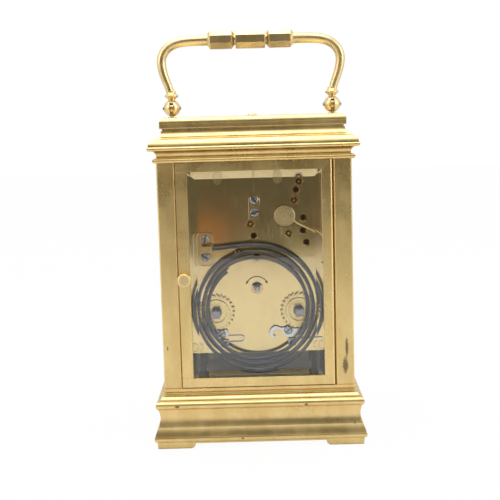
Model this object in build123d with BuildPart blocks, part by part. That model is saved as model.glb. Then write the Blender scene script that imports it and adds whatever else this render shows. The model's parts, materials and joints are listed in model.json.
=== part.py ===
"""Brass carriage clock with a five-glass case, two-train movement and coil gong.

Millimetres, +Z up. The origin is the middle of the base on the table. The dial faces -Y and
the glazed door with the winding squares faces +Y.
"""
from build123d import *
import math
import os

os.makedirs("parts", exist_ok=True)

# ------------------------------------------------------------------ case, driving dimensions
BODY_X = 41.4             # half width of the case between base and cornice
BODY_Y = 35.5             # half depth of the case
BASE_TOP = 26.0
BODY_TOP = 124.1
CORNICE_TOP = 137.4
LID_TOP = 143.0
PILLAR = 7.8              # side of the square corner pillars
GROOVE_INSET = 2.0        # outer pillar face to the glass groove
GLASS_EDGE = 1.4          # glass thickness at its ground edge
GLASS_FULL = 2.4          # glass thickness inside the bevel
BEVEL = 3.0               # width of the bevel
FIT = 0.05                # gap of a running or sliding fit
SNUG = 0.02               # gap of a fixed fit

# door
DOOR_X = 33.45
DOOR_BOTTOM = 26.25
DOOR_TOP = 123.8
DOOR_THICK = 3.0
OPENING_X = 28.6
OPENING_BOTTOM = 30.3
OPENING_TOP = 119.9
HINGE_X = -31.9
HINGE_Y = BODY_Y - DOOR_THICK / 2
HINGE_PIN = 0.6
KNOB = (31.0, 73.9)       # door knob, as (x, z)

# handle
BUTTON = (0.0, -28.3)     # repeat button, as (x, y)
PIVOT_X = 36.5
PIVOT_Z = 147.6
BALL = 3.75
GRIP_Z = 177.5
GRIP_FLATS = 8.1

# movement: arbor positions as (x, z)
PLATE_X = 29.0
PLATE_BOTTOM = 38.6
PLATE_TOP = 119.0
FRONT_PLATE = (-19.5, -17.5)
BACK_PLATE = (20.5, 22.5)
CENTRE = (0.0, 67.6)
TIME_BARREL = (18.2, 57.3)
STRIKE_BARREL = (-18.2, 57.3)
THIRD = (7.5, 83.96)
CONTRATE = (2.1, 95.8)
STRIKE_SECOND = (-15.6, 75.935)
PIN_WHEEL = (-14.5, 91.36)
WARNING = (-17.2, 105.8)
FLY = (-19.5, 114.0)
HAMMER = (-12.85, 99.4)
WINDING_R = 2.4           # radius of the winding arbors
MINUTE_WHEEL = (-8.49, 76.09)
PLATE_PILLARS = ((26.6, 41.2), (-26.6, 41.2), (16.0, 115.4), (-10.2, 115.4))
PIVOT_HOLES = (THIRD, CONTRATE, STRIKE_SECOND, PIN_WHEEL, WARNING, FLY)
SPARE_SINKS = ((-18.2, 110.5), (-21.0, 98.1), (-20.9, 92.4), (-22.4, 87.2), (0.8, 90.6),
               (-0.3, 81.4))
SEATS = [(x, y) for x in (-26.6, 26.6) for y in (-10.0, 12.0)]    # posts under the movement

# platform escapement, positions as (x, y)
PLATFORM = (119.0, 120.5)
PLATFORM_SCREW_X = (-12.5, 12.5)
ESCAPE = (2.1, -6.0)
PALLET = (1.2, -0.3)
BALANCE = (0.0, 6.5)

# gong
GONG = (0.3, 58.9)
GONG_Y = 28.2
GONG_WIRE = 0.75
GONG_OUTER = 28.4
GONG_PITCH = 3.2          # closing of the first turn; later turns lie a little tighter
GONG_EASE = 0.25
GONG_TURNS = 2.9

# dial
DIAL_X = 26.5
DIAL_BOTTOM = 34.0
DIAL_TOP = 117.0
DIAL_FACE = -27.0
CHAPTER = 24.6


# ------------------------------------------------------------------ shared helpers
def save(part, name):
    """Name a finished piece and write its STEP file."""
    part.label = name
    export_step(part, f"parts/{name}.step")


def rear(y):
    """Plane seen from behind: local x runs to the viewer's right (-X), local y up."""
    return Plane(origin=(0, y, 0), x_dir=(-1, 0, 0), z_dir=(0, 1, 0))


def arbor_plane(centre, y):
    """Plane square to an arbor, turning the same way as a positive turn about +Y."""
    return Plane(origin=(centre[0], y, centre[1]), x_dir=(1, 0, 0), z_dir=(0, 1, 0))


def rod_y(centre, y0, y1, radius, mode=Mode.ADD):
    """Round rod lying front to back at (x, z)."""
    with BuildSketch(arbor_plane(centre, y0)) as section:
        Circle(radius)
    extrude(section.sketch, amount=y1 - y0, mode=mode)


def rod_z(centre, z0, z1, radius, mode=Mode.ADD):
    """Upright round rod at (x, y)."""
    with BuildSketch(Plane.XY.offset(z0)) as section:
        with Locations(centre):
            Circle(radius)
    extrude(section.sketch, amount=z1 - z0, mode=mode)


def block(x0, x1, y0, y1, z0, z1, mode=Mode.ADD):
    """Rectangular block between two corners."""
    with Locations(((x0 + x1) / 2, (y0 + y1) / 2, (z0 + z1) / 2)):
        Box(x1 - x0, y1 - y0, z1 - z0, mode=mode)


def square_y(centre, y0, y1, side):
    """Square shaft lying front to back."""
    with BuildSketch(arbor_plane(centre, y0)) as section:
        Rectangle(side, side)
    extrude(section.sketch, amount=y1 - y0)


def bearing(a, b):
    """Direction from arbor a to arbor b, in degrees turning like a turn about +Y."""
    return math.degrees(math.atan2(a[1] - b[1], b[0] - a[0]))


def gear(centre, y0, y1, teeth, radius, phase):
    """Toothed disc with slim clock teeth; one tooth is centred on the phase angle."""
    pitch = 360 / teeth
    module = 2 * radius / teeth
    tip = radius + 0.85 * module
    root = radius - 1.05 * module
    points = []
    for k in range(teeth):
        for r, share in ((root, -0.24), (tip, -0.09), (tip, 0.09), (root, 0.24)):
            angle = math.radians(phase + (k + share) * pitch)
            points.append((r * math.cos(angle), r * math.sin(angle)))
    with BuildSketch(arbor_plane(centre, y0)) as outline:
        with BuildLine():
            Polyline(*points, close=True)
        make_face()
    extrude(outline.sketch, amount=y1 - y0)


def crossings(centre, y0, y1, hub, rim, arms, width):
    """Cut the openings between the arms of a wheel."""
    with BuildSketch(arbor_plane(centre, y0)) as windows:
        Circle(rim)
        Circle(hub, mode=Mode.SUBTRACT)
        with PolarLocations(0, arms):
            Rectangle(rim + 1, width, align=(Align.MIN, Align.CENTER), mode=Mode.SUBTRACT)
    extrude(windows.sketch, amount=y1 - y0, mode=Mode.SUBTRACT)


def arbor(centre, y0=FRONT_PLATE[0] + 0.2, y1=BACK_PLATE[1] - 0.4, radius=1.0):
    """Steel arbor with a thin pivot at each plate."""
    rod_y(centre, FRONT_PLATE[1] + 0.3, BACK_PLATE[0] - 0.3, radius)
    rod_y(centre, y0, y1, 0.5)


def ribbon(plane, inner, outer, turns, thickness, height):
    """Flat spring wound as a spiral from the inner to the outer radius."""
    steps = int(turns * 14)

    def side(extra):
        points = []
        for k in range(steps + 1):
            r = inner + (outer - inner) * k / steps + extra
            angle = 2 * math.pi * turns * k / steps
            points.append((r * math.cos(angle), r * math.sin(angle)))
        return points

    near = side(-thickness / 2)
    far = side(thickness / 2)
    with BuildSketch(plane) as strip:
        with BuildLine():
            Spline(*near)
            Line(near[-1], far[-1])
            Spline(*far[::-1])
            Line(far[0], near[0])
        make_face()
    extrude(strip.sketch, amount=height)


def slotted_screw(plane, head, head_high, shank, length, slot=0.5, turn=35):
    """Slotted screw with a domed head: the plane is the seat and faces out of the head."""
    side_on = Plane(origin=plane.origin, x_dir=plane.x_dir, z_dir=-plane.y_dir)
    with BuildSketch(side_on) as half:
        with BuildLine():
            Line((0, -length), (shank, -length))
            Line((shank, -length), (shank, 0))
            Line((shank, 0), (head, 0))
            Line((head, 0), (head, 0.55 * head_high))
            ThreePointArc((head, 0.55 * head_high), (0.85 * head, 0.85 * head_high),
                          (0.6 * head, head_high))
            Line((0.6 * head, head_high), (0, head_high))
            Line((0, head_high), (0, -length))
        make_face()
    revolve(half.sketch, axis=Axis(plane.origin, plane.z_dir))
    with BuildSketch(plane.offset(head_high)) as cut:
        Rectangle(2 * head + 1, slot, rotation=turn)
    extrude(cut.sketch, amount=-head_high * 0.55, mode=Mode.SUBTRACT)


# ------------------------------------------------------------------ mitred case mouldings
def base_profile(half):
    """Half section of the plinth, from the foot up to the floor of the case."""
    Line((0, 0), (half + 3.0, 0))
    ThreePointArc((half + 3.0, 0), (half + 3.35, 0.15), (half + 3.5, 0.5))
    Line((half + 3.5, 0.5), (half + 3.6, 3.0))
    Line((half + 3.6, 3.0), (half + 4.2, 3.3))
    ThreePointArc((half + 4.2, 3.3), (half + 4.75, 4.4), (half + 4.5, 5.6))
    ThreePointArc((half + 4.5, 5.6), (half + 3.9, 7.6), (half + 3.0, 9.4))
    ThreePointArc((half + 3.0, 9.4), (half + 2.1, 13.2), (half + 2.8, 17.3))
    Line((half + 2.8, 17.3), (half + 3.0, 17.6))
    ThreePointArc((half + 3.0, 17.6), (half + 3.8, 19.1), (half + 3.0, 20.6))
    Line((half + 3.0, 20.6), (half + 2.2, 20.8))
    ThreePointArc((half + 2.2, 20.8), (half + 1.45, 22.1), (half - 0.3, 22.9))
    ThreePointArc((half - 0.3, 22.9), (half - 0.5, 23.8), (half + 0.4, 24.6))
    Line((half + 0.4, 24.6), (half + 0.65, 24.9))
    Line((half + 0.65, 24.9), (half + 0.65, BASE_TOP))
    Line((half + 0.65, BASE_TOP), (0, BASE_TOP))


def cornice_profile(half):
    """Half section of the cornice between the pillars and the lid."""
    Line((0, BODY_TOP), (half, BODY_TOP))
    ThreePointArc((half, BODY_TOP), (half + 1.4, 124.95), (half, 125.8))
    Line((half, 125.8), (half - 0.3, 126.3))
    ThreePointArc((half - 0.3, 126.3), (half + 0.2, 128.2), (half + 2.2, 129.1))
    Line((half + 2.2, 129.1), (half + 2.6, 129.1))
    ThreePointArc((half + 2.6, 129.1), (half + 3.3, 129.9), (half + 2.9, 130.7))
    ThreePointArc((half + 2.9, 130.7), (half + 2.0, 133.0), (half - 0.2, 134.2))
    Line((half - 0.2, 134.2), (half - 0.6, 134.5))
    ThreePointArc((half - 0.6, 134.5), (half - 1.9, 135.6), (half - 2.5, CORNICE_TOP))
    Line((half - 2.5, CORNICE_TOP), (0, CORNICE_TOP))


def lid_profile(half):
    """Half section of the lid: a narrow step, then a slab with rounded edges."""
    Line((0, CORNICE_TOP), (half - 2.9, CORNICE_TOP))
    Line((half - 2.9, CORNICE_TOP), (half - 2.9, 138.3))
    Line((half - 2.9, 138.3), (half - 2.2, 138.3))
    ThreePointArc((half - 2.2, 138.3), (half - 1.95, 138.4), (half - 1.85, 138.7))
    Line((half - 1.85, 138.7), (half - 1.85, 140.2))
    ThreePointArc((half - 1.85, 140.2), (half - 2.35, 142.1), (half - 3.9, LID_TOP))
    Line((half - 3.9, LID_TOP), (0, LID_TOP))


def mitred_moulding(profile):
    """Moulding round the whole case: the width section crossed with the depth section."""
    with BuildPart() as moulding:
        with BuildSketch(Plane.XZ):
            with BuildLine():
                profile(BODY_X)
                mirror(about=Plane.YZ)
            make_face()
        extrude(amount=BODY_X + 20, both=True)
        with BuildSketch(Plane.YZ):
            with BuildLine():
                profile(BODY_Y)
                mirror(about=Plane.YZ)
            make_face()
        extrude(amount=BODY_X + 20, both=True, mode=Mode.INTERSECT)
    return moulding.part


PILLAR_CENTRES = [(sx * (BODY_X - PILLAR / 2), sy * (BODY_Y - PILLAR / 2))
                  for sx in (-1, 1) for sy in (-1, 1)]
SCREW_INSET = 5.1         # case screws stand this far in from the faces of the body
SCREW_SPOTS = [(sx * (BODY_X - SCREW_INSET), sy * (BODY_Y - SCREW_INSET))
               for sx in (-1, 1) for sy in (-1, 1)]
CASE_SCREW = 1.2
CASE_SCREW_HEAD = 1.9
HEAD_ROOM = 0.2           # gap round a sunk screw head
PLINTH_WALL = 5.0
FLOOR_UNDER = 20.5        # underside of the plinth's floor


def foot_arch(plane, half):
    """Cut the low arch between two feet on opposite sides of the plinth."""
    with BuildSketch(plane) as arch:
        with BuildLine():
            Line((-half, -1), (half, -1))
            Line((half, -1), (half, 0))
            ThreePointArc((half, 0), (half - 1.9, 0.8), (half - 2.6, 2.4))
            Line((half - 2.6, 2.4), (2.6 - half, 2.4))
            ThreePointArc((2.6 - half, 2.4), (1.9 - half, 0.8), (-half, 0))
            Line((-half, 0), (-half, -1))
        make_face()
    extrude(arch.sketch, amount=BODY_X + 20, both=True, mode=Mode.SUBTRACT)


with BuildPart() as base_plinth:
    add(mitred_moulding(base_profile))
    block(PLINTH_WALL - BODY_X, BODY_X - PLINTH_WALL, PLINTH_WALL - BODY_Y, BODY_Y - PLINTH_WALL,
          -1, FLOOR_UNDER, mode=Mode.SUBTRACT)
    foot_arch(Plane.XZ, BODY_X - 10.4)
    foot_arch(Plane.YZ, BODY_Y - 10.4)
    for spot in SCREW_SPOTS:
        rod_z(spot, -1, FLOOR_UNDER, CASE_SCREW_HEAD + HEAD_ROOM, mode=Mode.SUBTRACT)
    for spot in SCREW_SPOTS + SEATS:
        rod_z(spot, FLOOR_UNDER - 0.5, BASE_TOP + 1, CASE_SCREW + SNUG, mode=Mode.SUBTRACT)
    rod_z((HINGE_X, HINGE_Y), 22.5, BASE_TOP + 1, HINGE_PIN + SNUG, mode=Mode.SUBTRACT)
save(base_plinth.part, "base_plinth")

with BuildPart() as corner_pillars:
    for cx, cy in PILLAR_CENTRES:
        half = PILLAR / 2
        block(cx - half, cx + half, cy - half, cy + half, BASE_TOP, BODY_TOP)
    chamfer(corner_pillars.edges().filter_by(Axis.Z), length=0.5)
    groove_deep = 2.4
    inner_y = BODY_Y - PILLAR + groove_deep
    inner_x = BODY_X - PILLAR + groove_deep
    slot = GLASS_EDGE + 2 * FIT
    outer_x = BODY_X - GROOVE_INSET
    outer_y = BODY_Y - GROOVE_INSET
    for side in (-1, 1):
        x0, x1 = sorted((side * (outer_x - slot), side * outer_x))
        block(x0, x1, -inner_y, inner_y, BASE_TOP, BODY_TOP, mode=Mode.SUBTRACT)
    block(-inner_x, inner_x, -outer_y, slot - outer_y, BASE_TOP, BODY_TOP, mode=Mode.SUBTRACT)
    for spot in SCREW_SPOTS:
        rod_z(spot, BASE_TOP - 1, BASE_TOP + 10, CASE_SCREW + SNUG, mode=Mode.SUBTRACT)
        rod_z(spot, BODY_TOP - 10, BODY_TOP + 1, CASE_SCREW + SNUG, mode=Mode.SUBTRACT)
save(corner_pillars.part, "corner_pillars")

UPPER_SEAT = 131.5
with BuildPart() as case_screws:
    for x, y in SCREW_SPOTS:
        slotted_screw(Plane(origin=(x, y, UPPER_SEAT), z_dir=(0, 0, 1)),
                      CASE_SCREW_HEAD, 1.5, CASE_SCREW, 15.0, slot=0.6)
    for x, y in SCREW_SPOTS + SEATS:
        slotted_screw(Plane(origin=(x, y, FLOOR_UNDER), z_dir=(0, 0, -1)),
                      CASE_SCREW_HEAD, 1.5, CASE_SCREW, 15.0, slot=0.6)
save(case_screws.part, "case_screws")

WINDOW_X = 26.0
WINDOW_Y = 20.5
POST_NUT = 1.95           # nuts under the handle posts, centre to corner
with BuildPart() as cornice:
    add(mitred_moulding(cornice_profile))
    block(-31.5, 31.5, -25.5, 25.5, BODY_TOP - 1, CORNICE_TOP + 1, mode=Mode.SUBTRACT)
    for spot in SCREW_SPOTS:
        rod_z(spot, BODY_TOP - 1, UPPER_SEAT + 1, CASE_SCREW + SNUG, mode=Mode.SUBTRACT)
        rod_z(spot, UPPER_SEAT, CORNICE_TOP + 1, CASE_SCREW_HEAD + HEAD_ROOM, mode=Mode.SUBTRACT)
    rod_z((HINGE_X, HINGE_Y), BODY_TOP - 1, BODY_TOP + 3.5, HINGE_PIN + SNUG,
          mode=Mode.SUBTRACT)
    for side in (-1, 1):
        rod_z((side * PIVOT_X, 0), 134.2, CORNICE_TOP + 1, POST_NUT + 0.1, mode=Mode.SUBTRACT)
    rod_z(BUTTON, 132.0, CORNICE_TOP + 1, 2.4, mode=Mode.SUBTRACT)
save(cornice.part, "cornice")

BUTTON_STEM = 1.2
BUTTON_HEAD = 2.3
BUTTON_TRAVEL = 1.2
POST_STUD = 1.1
with BuildPart() as lid_plate:
    add(mitred_moulding(lid_profile))
    block(-WINDOW_X, WINDOW_X, -WINDOW_Y, WINDOW_Y, CORNICE_TOP - 1, LID_TOP + 1,
          mode=Mode.SUBTRACT)
    ledge = 1.6
    block(-WINDOW_X - ledge, WINDOW_X + ledge, -WINDOW_Y - ledge, WINDOW_Y + ledge,
          CORNICE_TOP - 1, LID_TOP - 1.6, mode=Mode.SUBTRACT)
    for side in (-1, 1):
        rod_z((side * PIVOT_X, 0), CORNICE_TOP - 1, LID_TOP + 1, POST_STUD + SNUG,
              mode=Mode.SUBTRACT)
    rod_z(BUTTON, CORNICE_TOP - 1, LID_TOP + 1, BUTTON_STEM + FIT, mode=Mode.SUBTRACT)
    rod_z(BUTTON, LID_TOP - BUTTON_TRAVEL - 0.2, LID_TOP + 1, BUTTON_HEAD + 0.1,
          mode=Mode.SUBTRACT)
save(lid_plate.part, "lid_plate")


# ------------------------------------------------------------------ bevelled glasses
def bevelled_glass(plane, half_wide, half_tall, seen_wide, seen_tall):
    """Plate glass with ground edges; the bevel rises along the plane's normal."""
    with BuildSketch(plane) as sheet:
        Rectangle(2 * half_wide, 2 * half_tall)
    extrude(sheet.sketch, amount=GLASS_EDGE)
    with BuildSketch(plane.offset(GLASS_EDGE)) as low:
        Rectangle(2 * seen_wide, 2 * seen_tall)
    with BuildSketch(plane.offset(GLASS_FULL)) as high:
        Rectangle(2 * (seen_wide - BEVEL), 2 * (seen_tall - BEVEL))
    loft(sections=[low.sketch, high.sketch])


PANE_GAP = 0.1
PANE_MID = (BASE_TOP + BODY_TOP) / 2
PANE_TALL = (BODY_TOP - BASE_TOP) / 2 - PANE_GAP
with BuildPart() as side_glasses:
    for side in (-1, 1):
        inner_face = side * (BODY_X - GROOVE_INSET - FIT - GLASS_EDGE)
        side_plane = Plane(origin=(inner_face, 0, PANE_MID), x_dir=(0, 1, 0),
                           z_dir=(side, 0, 0))
        bevelled_glass(side_plane, BODY_Y - PILLAR + 2.2, PANE_TALL,
                       BODY_Y - PILLAR - 0.2, PANE_TALL - 0.2)
save(side_glasses.part, "side_glasses")

with BuildPart() as front_glass:
    front_plane = Plane(origin=(0, -(BODY_Y - GROOVE_INSET - FIT - GLASS_EDGE), PANE_MID),
                        x_dir=(1, 0, 0), z_dir=(0, -1, 0))
    bevelled_glass(front_plane, BODY_X - PILLAR + 2.2, PANE_TALL,
                   BODY_X - PILLAR - 0.2, PANE_TALL - 0.2)
save(front_glass.part, "front_glass")

with BuildPart() as top_glass:
    top_plane = Plane.XY.offset(LID_TOP - 1.6 - GLASS_EDGE)
    bevelled_glass(top_plane, WINDOW_X + 1.5, WINDOW_Y + 1.5, WINDOW_X - 0.1, WINDOW_Y - 0.1)
save(top_glass.part, "top_glass")

# ------------------------------------------------------------------ rear door
DOOR_BACK = BODY_Y - DOOR_THICK
KNOB_RIVET = 0.9
JOINT_LINE = 0.12         # width and depth of the joint lines in the door frame
LIP = 1.5                 # frame left in front of the glass
REBATE = 1.5              # how far the glass runs behind the frame
OPENING_MID = (OPENING_BOTTOM + OPENING_TOP) / 2
OPENING_HALF = (OPENING_TOP - OPENING_BOTTOM) / 2


def joint_line(start, end, before, beyond):
    """Fine groove between two bars of the door frame, run on past each end of the joint."""
    along = math.hypot(end[0] - start[0], end[1] - start[1])
    with BuildSketch(Plane(origin=(start[0], BODY_Y, start[1]),
                           x_dir=(end[0] - start[0], 0, end[1] - start[1]),
                           z_dir=(0, 1, 0))) as groove:
        with Locations((-before, 0)):
            Rectangle(before + along + beyond, JOINT_LINE, align=(Align.MIN, Align.CENTER))
    extrude(groove.sketch, amount=-JOINT_LINE, mode=Mode.SUBTRACT)


with BuildPart() as rear_door_frame:
    block(HINGE_X, DOOR_X, DOOR_BACK, BODY_Y, DOOR_BOTTOM, DOOR_TOP)
    rod_z((HINGE_X, HINGE_Y), DOOR_BOTTOM, DOOR_TOP, DOOR_THICK / 2)
    block(-OPENING_X, OPENING_X, DOOR_BACK - 1, BODY_Y + 1, OPENING_BOTTOM, OPENING_TOP,
          mode=Mode.SUBTRACT)
    block(-OPENING_X - REBATE, OPENING_X + REBATE, DOOR_BACK - 1, BODY_Y - LIP,
          OPENING_BOTTOM - REBATE, OPENING_TOP + REBATE, mode=Mode.SUBTRACT)
    for z0, z1 in ((DOOR_BOTTOM - 1, DOOR_BOTTOM + 3), (DOOR_TOP - 3, DOOR_TOP + 1)):
        rod_z((HINGE_X, HINGE_Y), z0, z1, HINGE_PIN + FIT, mode=Mode.SUBTRACT)
    rod_y(KNOB, DOOR_BACK - 1, BODY_Y + 1, KNOB_RIVET + SNUG, mode=Mode.SUBTRACT)
    for z_in, z_out in ((OPENING_TOP, DOOR_TOP), (OPENING_BOTTOM, DOOR_BOTTOM)):
        joint_line((-OPENING_X, z_in), (HINGE_X, z_out), before=0.5, beyond=-0.6)
    for z in (OPENING_TOP - 1.5 * JOINT_LINE, OPENING_BOTTOM + 1.5 * JOINT_LINE):
        joint_line((OPENING_X, z), (DOOR_X, z), before=0.5, beyond=0.5)
save(rear_door_frame.part, "rear_door_frame")

with BuildPart() as rear_door_glass:
    glass_plane = Plane(origin=(0, BODY_Y - LIP - GLASS_EDGE, OPENING_MID),
                        x_dir=(-1, 0, 0), z_dir=(0, 1, 0))
    bevelled_glass(glass_plane, OPENING_X + REBATE - 0.1, OPENING_HALF + REBATE - 0.1,
                   OPENING_X - 0.1, OPENING_HALF - 0.1)
save(rear_door_glass.part, "rear_door_glass")

with BuildPart() as door_knob:
    with BuildSketch(Plane.XY) as knob_section:
        with BuildLine():
            Line((0, 0), (1.7, 0))
            ThreePointArc((1.7, 0), (1.3, 0.8), (1.6, 1.5))
            ThreePointArc((1.6, 1.5), (2.6, 1.8), (2.95, 2.6))
            ThreePointArc((2.95, 2.6), (2.85, 3.3), (2.3, 3.6))
            Line((2.3, 3.6), (2.0, 3.45))
            Line((2.0, 3.45), (0, 3.45))
            Line((0, 3.45), (0, 0))
        make_face()
    revolve(axis=Axis.Y)
    with BuildSketch(Plane.XZ):
        Circle(KNOB_RIVET)
    extrude(amount=2.9)
door_knob.part.move(Location((KNOB[0], BODY_Y, KNOB[1])))
save(door_knob.part, "door_knob")

with BuildPart() as door_hinge_pins:
    rod_z((HINGE_X, HINGE_Y), 23.0, DOOR_BOTTOM + 2.8, HINGE_PIN)
    rod_z((HINGE_X, HINGE_Y), DOOR_TOP - 2.8, BODY_TOP + 3.0, HINGE_PIN)
save(door_hinge_pins.part, "door_hinge_pins")

# ------------------------------------------------------------------ carrying handle
ROD = 2.45                # handle rod radius beside the grip
ROD_LOW = 1.8             # handle rod radius above the knuckles
NECK = 1.5                # radius between each collar and its knuckle ball
with BuildPart() as handle_bail:
    grip_plane = Plane(origin=(0, 0, GRIP_Z), x_dir=(0, 1, 0), z_dir=(1, 0, 0))
    with BuildSketch(grip_plane):
        Circle(ROD)
    extrude(amount=19.5, both=True)
    knop_corner = GRIP_FLATS / 2 / math.cos(math.pi / 8)
    for middle, half_long, ends in ((-13.3, 5.9, 1.1), (0, 6.7, 0.25), (13.3, 5.9, 1.1)):
        for direction in (-1, 1):
            with BuildSketch(grip_plane.offset(middle)):
                RegularPolygon(knop_corner, 8, rotation=22.5)
            extrude(amount=direction * (half_long - ends))
            with BuildSketch(grip_plane.offset(middle + direction * (half_long - ends))):
                RegularPolygon(knop_corner, 8, rotation=22.5)
            with BuildSketch(grip_plane.offset(middle + direction * half_long)):
                RegularPolygon(knop_corner - 1.3 * ends, 8, rotation=22.5)
            loft()
    for side in (-1, 1):
        with BuildLine() as bend:
            Spline((side * 19.0, 0, 177.5), (side * 28.5, 0, 177.3), (side * 36.4, 0, 175.2),
                   (side * 40.2, 0, 170.4), (side * 40.3, 0, 165.4), (side * 38.6, 0, 159.4),
                   (side * 36.8, 0, 153.6), tangents=((side, 0, 0), (side * -0.2, 0, -1)))
        start = Plane(origin=bend.line @ 0, z_dir=bend.line % 0)
        finish = Plane(origin=bend.line @ 1, z_dir=bend.line % 1)
        with BuildSketch(start) as wide:
            Circle(ROD)
        with BuildSketch(finish) as narrow:
            Circle(ROD_LOW)
        sweep(sections=[wide.sketch, narrow.sketch], path=bend.line, multisection=True)
        with BuildSketch(Plane(origin=(side * PIVOT_X, 0, 0), x_dir=(1, 0, 0),
                               z_dir=(0, -1, 0))) as knuckle:
            with BuildLine():
                Line((0, PIVOT_Z - BALL), (0, 155.4))
                Line((0, 155.4), (1.9, 155.2))
                ThreePointArc((1.9, 155.2), (2.15, 154.2), (2.9, 153.5))
                ThreePointArc((2.9, 153.5), (3.15, 153.0), (2.8, 152.5))
                ThreePointArc((2.8, 152.5), (2.0, 151.9), (NECK, 151.4))
                Line((NECK, 151.4), (NECK, PIVOT_Z + math.sqrt(BALL**2 - NECK**2)))
                ThreePointArc((NECK, PIVOT_Z + math.sqrt(BALL**2 - NECK**2)), (BALL, PIVOT_Z),
                              (0, PIVOT_Z - BALL))
            make_face()
        revolve(knuckle.sketch, axis=Axis((side * PIVOT_X, 0, 0), (0, 0, 1)))
        block(side * PIVOT_X - 0.85, side * PIVOT_X + 0.85, -5, 5, PIVOT_Z - 5, PIVOT_Z + 2.7,
              mode=Mode.SUBTRACT)
        with BuildSketch(Plane(origin=(side * PIVOT_X - 6, 0, PIVOT_Z), x_dir=(0, 1, 0),
                               z_dir=(1, 0, 0))) as bore:
            Circle(0.9 + SNUG)
        extrude(bore.sketch, amount=12, mode=Mode.SUBTRACT)
save(handle_bail.part, "handle_bail")

with BuildPart() as handle_pivots:
    for side in (-1, 1):
        tip_plane = Plane(origin=(side * (PIVOT_X - BALL - 0.4), 0, PIVOT_Z),
                          x_dir=(0, 1, 0), z_dir=(side, 0, 0))
        with BuildSketch(tip_plane) as pin:
            Circle(0.9)
        extrude(pin.sketch, amount=2 * BALL + 0.8)
fillet(handle_pivots.edges().filter_by(GeomType.CIRCLE), radius=0.3)
save(handle_pivots.part, "handle_pivots")

with BuildPart() as handle_posts:
    for side in (-1, 1):
        rod_z((side * PIVOT_X, 0), LID_TOP, LID_TOP + 0.7, 2.0)
        rod_z((side * PIVOT_X, 0), 135.4, LID_TOP, POST_STUD)
        with BuildSketch(Plane(origin=(side * PIVOT_X - 0.75, 0, 0), x_dir=(0, 1, 0),
                               z_dir=(1, 0, 0))) as lug:
            with Locations((0, PIVOT_Z)):
                Circle(2.3)
            with Locations((0, (LID_TOP + PIVOT_Z) / 2)):
                Rectangle(3.6, PIVOT_Z - LID_TOP)
            with Locations((0, PIVOT_Z)):
                Circle(0.9 + FIT, mode=Mode.SUBTRACT)
        extrude(lug.sketch, amount=1.5)
save(handle_posts.part, "handle_posts")

with BuildPart() as handle_post_nuts:
    for side in (-1, 1):
        with BuildSketch(Plane.XY.offset(135.6)) as nut:
            with Locations((side * PIVOT_X, 0)):
                RegularPolygon(POST_NUT, 6)
                Circle(POST_STUD + SNUG, mode=Mode.SUBTRACT)
        extrude(nut.sketch, amount=1.7)
save(handle_post_nuts.part, "handle_post_nuts")

with BuildPart() as repeat_button:
    rod_z(BUTTON, LID_TOP, LID_TOP + 1.4, BUTTON_HEAD)
    fillet(repeat_button.edges().group_by(Axis.Z)[-1], radius=0.7)
    rod_z(BUTTON, 134.5, LID_TOP + 0.3, BUTTON_STEM)
save(repeat_button.part, "repeat_button")


# ------------------------------------------------------------------ movement plates
def plate(y0, y1):
    """Brass plate with its two lower corners cut off."""
    corner = 2.0
    with BuildSketch(rear(y0)) as outline:
        with BuildLine():
            Polyline((-PLATE_X + corner, PLATE_BOTTOM), (PLATE_X - corner, PLATE_BOTTOM),
                     (PLATE_X, PLATE_BOTTOM + corner), (PLATE_X, PLATE_TOP),
                     (-PLATE_X, PLATE_TOP), (-PLATE_X, PLATE_BOTTOM + corner), close=True)
        make_face()
    extrude(outline.sketch, amount=y1 - y0)
    for spot in PIVOT_HOLES:
        rod_y(spot, y0 - 1, y1 + 1, 0.5 + FIT, mode=Mode.SUBTRACT)
    for x in PLATFORM_SCREW_X:
        rod_z((x, (y0 + y1) / 2), PLATE_TOP - 2.4, PLATE_TOP + 1, SMALL_SCREW + SNUG,
              mode=Mode.SUBTRACT)


def oil_sink(spot, face):
    """Countersunk cup round a pivot on the rear face of the back plate, with a turned ring."""
    with BuildSketch(arbor_plane(spot, face)) as mouth:
        Circle(1.7)
    with BuildSketch(arbor_plane(spot, face - 1.1)) as throat:
        Circle(0.6)
    loft(sections=[mouth.sketch, throat.sketch], mode=Mode.SUBTRACT)
    with BuildSketch(arbor_plane(spot, face)) as ring:
        Circle(2.25)
        Circle(1.95, mode=Mode.SUBTRACT)
    extrude(ring.sketch, amount=-0.2, mode=Mode.SUBTRACT)


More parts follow.
